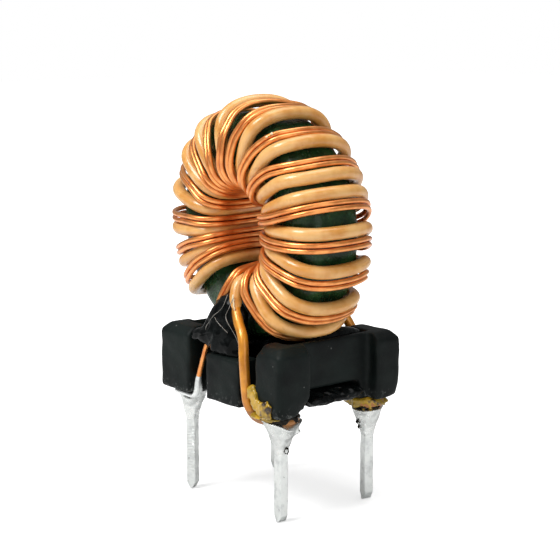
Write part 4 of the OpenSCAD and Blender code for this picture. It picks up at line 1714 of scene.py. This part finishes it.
@dataclass
class Residue:
    """What soldering and gluing left: burnt insulation, crust, pits, threads, crumbs, flakes."""

    base: Layout
    resin: ResinFinish = ResinFinish()
    char: GlueFinish = GlueFinish("charred_flux", (0.006, 0.005, 0.004), (0.03, 0.024, 0.018))
    tin: TinFinish = TinFinish("blister")
    fibre: FibreFinish = FibreFinish()
    torn: FibreFinish = FibreFinish("torn_sleeve", (0.70, 0.52, 0.28), (0.85, 0.74, 0.52))
    film: Pad = Pad((
        (2.25, -3.52, 1.12), (2.5, -3.55, 1.2), (2.8, -3.58, 0.98), (2.9, -3.6, 0.72),
        (3.2, -3.6, 0.66), (3.55, -3.6, 0.72), (3.76, -3.58, 0.45), (3.7, -3.56, 0.05),
        (3.45, -3.52, -0.12), (3.0, -3.5, -0.12), (2.65, -3.5, 0.12), (2.4, -3.52, 0.45),
        (2.25, -3.52, 0.8)),
        (2.95, -3.55, 0.4), (0.0, -1.0, 0.0), 0.3, 50, 0.05, 0.3, 59, steps=6)
    crusts: tuple[Lump, ...] = (
        Lump((3.40, -2.68, -0.15), (0.64, 0.80, 0.27), 0.12, 0.4, 100, (40, 48)),
        Lump((3.175, 2.46, -0.44), (0.72, 0.72, 0.13), 0.12, 0.4, 101, (40, 48)))
    pits: tuple[Lump, ...] = (Lump((3.53, -2.51, -1.62), (0.09, 0.10, 0.15), 0.2, 0.1, 80),
                              Lump((3.03, 2.07, -1.22), (0.07, 0.07, 0.10), 0.2, 0.1, 81),
                              Lump((3.02, 2.18, -1.48), (0.05, 0.05, 0.10), 0.2, 0.1, 82))
    blister: Lump = Lump((3.57, -2.56, -1.62), (0.06, 0.06, 0.10), 0.1, 0.1, 84)
    crumbs: tuple[Lump, ...] = (Lump((2.53, -2.51, 11.89), (0.09, 0.05, 0.05), 0.3, 0.1, 90),
                                Lump((2.37, -2.65, 11.76), (0.06, 0.05, 0.04), 0.3, 0.1, 91))
    flakes: tuple[Lump, ...] = (
        Lump((0.46, -2.98, 4.62), (0.06, 0.04, 0.2), 0.3, 0.12, 70, (20, 24)),
        Lump((0.55, -3.02, 4.36), (0.06, 0.03, 0.14), 0.3, 0.12, 71, (20, 24)),
        Lump((0.66, -3.06, 4.24), (0.04, 0.04, 0.08), 0.3, 0.12, 72, (20, 24)))
    # drawn threads of glue from end to end, each laid on the mound
    threads: tuple[Points, ...] = (
        ((0.1, -3.0, 4.75), (0.02, -3.25, 4.2), (-0.36, -3.45, 3.8), (-0.6, -3.5, 3.5),
         (-0.82, -3.5, 3.25), (-0.95, -3.4, 3.05)),
        ((0.5, -3.0, 4.65), (0.56, -3.3, 4.25), (0.5, -3.42, 3.95), (0.68, -3.48, 3.7),
         (0.9, -3.45, 3.45), (1.1, -3.35, 3.1), (1.15, -3.25, 2.8)),
        ((-0.3, -3.4, 3.75), (0.0, -3.52, 3.62), (0.42, -3.5, 3.38), (0.6, -3.4, 3.2)),
    )
    thread_r: float = 0.013
    thread_swell: float = 0.3
    thread_sides: int = 8

    def burnt_lumps(self) -> dict[str, Lump]:
        """Lumps where the heavy wire was stripped by heat, placed from the base and pins.

        Returns:
            The lumps by the names of their pieces.
        """
        b = self.base
        places = {
            "burnt_lump_slot": ((b.heavy_slot_x + 0.48, -b.half_y + 0.05, 0.9), (0.22, 0.2, 0.34)),
            "burnt_lump_under": ((b.pin_x - 0.2, -b.half_y + 0.35, -0.1), (0.8, 0.5, 0.16)),
            "burnt_cap_right": ((b.pin_x, b.pin_y - 0.06, -0.2), (0.86, 0.86, 0.37)),
        }
        return {name: Lump(middle, radii, 0.16, 0.35, seed, (40, 48))
                for seed, (name, (middle, radii)) in enumerate(places.items(), 60)}

    def build(self) -> None:
        """The burnt pieces, then pits, blister and crumbs, the threads and the flakes."""
        resin, char, tin, torn = (
            f.material() for f in (self.resin, self.char, self.tin, self.torn))
        show("burnt_film", self.film.shape(), resin)
        for name, lump in self.burnt_lumps().items():
            show(name, lump.shape(), resin)
        self._group("char", self.crusts, char, "glue")
        self._group("solder_pit", self.pits, char, "solder")
        show("solder_blister", self.blister.shape(), tin)
        self._group("crumb", self.crumbs, torn, "fine_wire")
        self._threads()
        self._group("flake", self.flakes, torn, "heavy_wire")

    @staticmethod
    def _group(name: str, lumps: Sequence[Lump], material: bpy.types.Material, slot: str) -> None:
        """Several lumps of one kind, numbered from 0."""
        for k, lump in enumerate(lumps):
            show(f"{name}_{k}", lump.shape(), material)

    def _threads(self) -> None:
        """The threads, each thicker and thinner along its length."""
        fibre = self.fibre.material()
        for k, points in enumerate(self.threads):
            line = relaxed(even(curve(np.array(points), 10), 0.04), 2)
            wave = 1 + self.thread_swell * np.sin(5 * np.linspace(0, np.pi, len(line)))
            show(f"thread_{k}", swept(line, self.thread_r * wave, self.thread_sides), fibre)


# ---------------------------------------------------------------- studio

@dataclass(frozen=True)
class Lamp:
    """A soft box: where it stands, how wide and how bright, aimed at the part."""

    name: str
    place: Point
    size: float
    power: float


@dataclass
class Studio:
    """Pale floor, white surroundings, soft boxes and the camera."""

    target: Point = (0.0, 0.0, 4.608)
    azimuth: float = 50.0
    elevation: float = 10.3
    distance: float = 67.5
    lens: float = 96.43
    shift: tuple[float, float] = (0.0023, 0.0179)
    floor_z: float = -4.9
    floor_half: float = 400.0
    lamps: tuple[Lamp, ...] = (
        Lamp("key", (-15.0, -120.0, 150.0), 85.0, 0.31),
        Lamp("side", (150.0, -30.0, 60.0), 110.0, 0.05),
        Lamp("top", (0.0, 20.0, 180.0), 140.0, 0.16),
    )
    fill: float = 0.28
    floor_lift: float = 0.5
    # distances between which the floor turns white, and its own tone
    floor_fade: tuple[float, float] = (20.0, 70.0)
    floor_tone: Colour = (0.85, 0.85, 0.85)
    sensor: float = 36.0

    def build(self) -> None:
        """Sets the view transform and builds the surroundings."""
        scene = bpy.context.scene
        scene.view_settings.view_transform = "Standard"
        self._world(scene)
        self._floor()
        for lamp in self.lamps:
            self._lamp(lamp)
        self._camera(scene)

    def _world(self, scene: bpy.types.Scene) -> None:
        """White to the camera and in reflections, a softer fill for the rest.

        Args:
            scene: the scene that gets it.
        """
        world = bpy.data.worlds.new("surroundings")
        world.use_nodes = True
        scene.world = world
        tree = world.node_tree
        back = next(n for n in tree.nodes if n.type == "BACKGROUND")
        path = tree.nodes.new("ShaderNodeLightPath")
        seen = tree.nodes.new("ShaderNodeMath")
        seen.operation = "MAXIMUM"
        for name, socket in zip(("Is Camera Ray", "Is Transmission Ray"), seen.inputs):
            tree.links.new(path.outputs[name], socket)
        strength = tree.nodes.new("ShaderNodeMapRange")
        strength.inputs["To Min"].default_value = self.fill
        strength.inputs["To Max"].default_value = 1.0
        tree.links.new(seen.outputs[0], strength.inputs["Value"])
        tree.links.new(strength.outputs[0], back.inputs["Strength"])
        back.inputs["Color"].default_value = (1, 1, 1, 1)

    def _floor(self) -> None:
        """A pale level floor that keeps the part's shadow."""
        h, z = self.floor_half * MM, self.floor_z * MM
        mesh = bpy.data.meshes.new("floor")
        mesh.from_pydata([(-h, -h, z), (h, -h, z), (h, h, z), (-h, h, z)], [], [(0, 1, 2, 3)])
        g = Graph("floor")
        seen = g.add("ShaderNodeLightPath", out="Is Camera Ray")
        far = g.add("ShaderNodeVectorMath", {"operation": "LENGTH"}, {0: g.place()}, out="Value")
        lift = far.step(*self.floor_fade) * (1 - self.floor_lift) + self.floor_lift
        g.finish(self.floor_tone, 0.9, Specular_IOR_Level=0.0,
                 Emission_Color=(1.0, 1.0, 1.0), Emission_Strength=seen * lift)
        mesh.materials.append(g.material)
        floor = bpy.data.objects.new("floor", mesh)
        bpy.context.scene.collection.objects.link(floor)

    def _lamp(self, lamp: Lamp) -> None:
        """One square soft box aimed at the part.

        Args:
            lamp: what to build.
        """
        data = bpy.data.lights.new(lamp.name, "AREA")
        data.size, data.energy = lamp.size * MM, lamp.power
        light = bpy.data.objects.new(lamp.name, data)
        light.location = Vector(lamp.place) * MM
        aim = Vector(self.target) * MM - light.location
        light.rotation_euler = aim.to_track_quat("-Z", "Y").to_euler()
        bpy.context.scene.collection.objects.link(light)

    def _camera(self, scene: bpy.types.Scene) -> None:
        """The camera, level, aimed at the target and framed by its shift.

        Args:
            scene: the scene that gets it.
        """
        a, e = math.radians(self.azimuth), math.radians(self.elevation)
        back = Vector((math.sin(a) * math.cos(e), -math.cos(a) * math.cos(e), math.sin(e)))
        data = bpy.data.cameras.new("camera")
        data.lens, data.sensor_width = self.lens, self.sensor
        data.shift_x, data.shift_y = self.shift
        data.clip_start, data.clip_end = 0.001, 10.0
        camera = bpy.data.objects.new("camera", data)
        camera.location = (Vector(self.target) + back * self.distance) * MM
        camera.rotation_euler = (-back).to_track_quat("-Z", "Y").to_euler()
        scene.collection.objects.link(camera)
        scene.camera = camera


def main() -> None:
    """Builds the part's looks piece by piece, then the studio."""
    logging.basicConfig(level=logging.INFO, format="%(name)s: %(message)s")
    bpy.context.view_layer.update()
    base, ring = Layout(), Ring()
    CoreRing(ring).build()
    windings = Windings(ring, base)
    windings.build_heavy()
    windings.build_fine()
    Base().build()
    Pins(base).build()
    Solder(base).build()
    Glue().build()
    Residue(base).build()
    Studio().build()


if __name__ == "__main__":
    main()
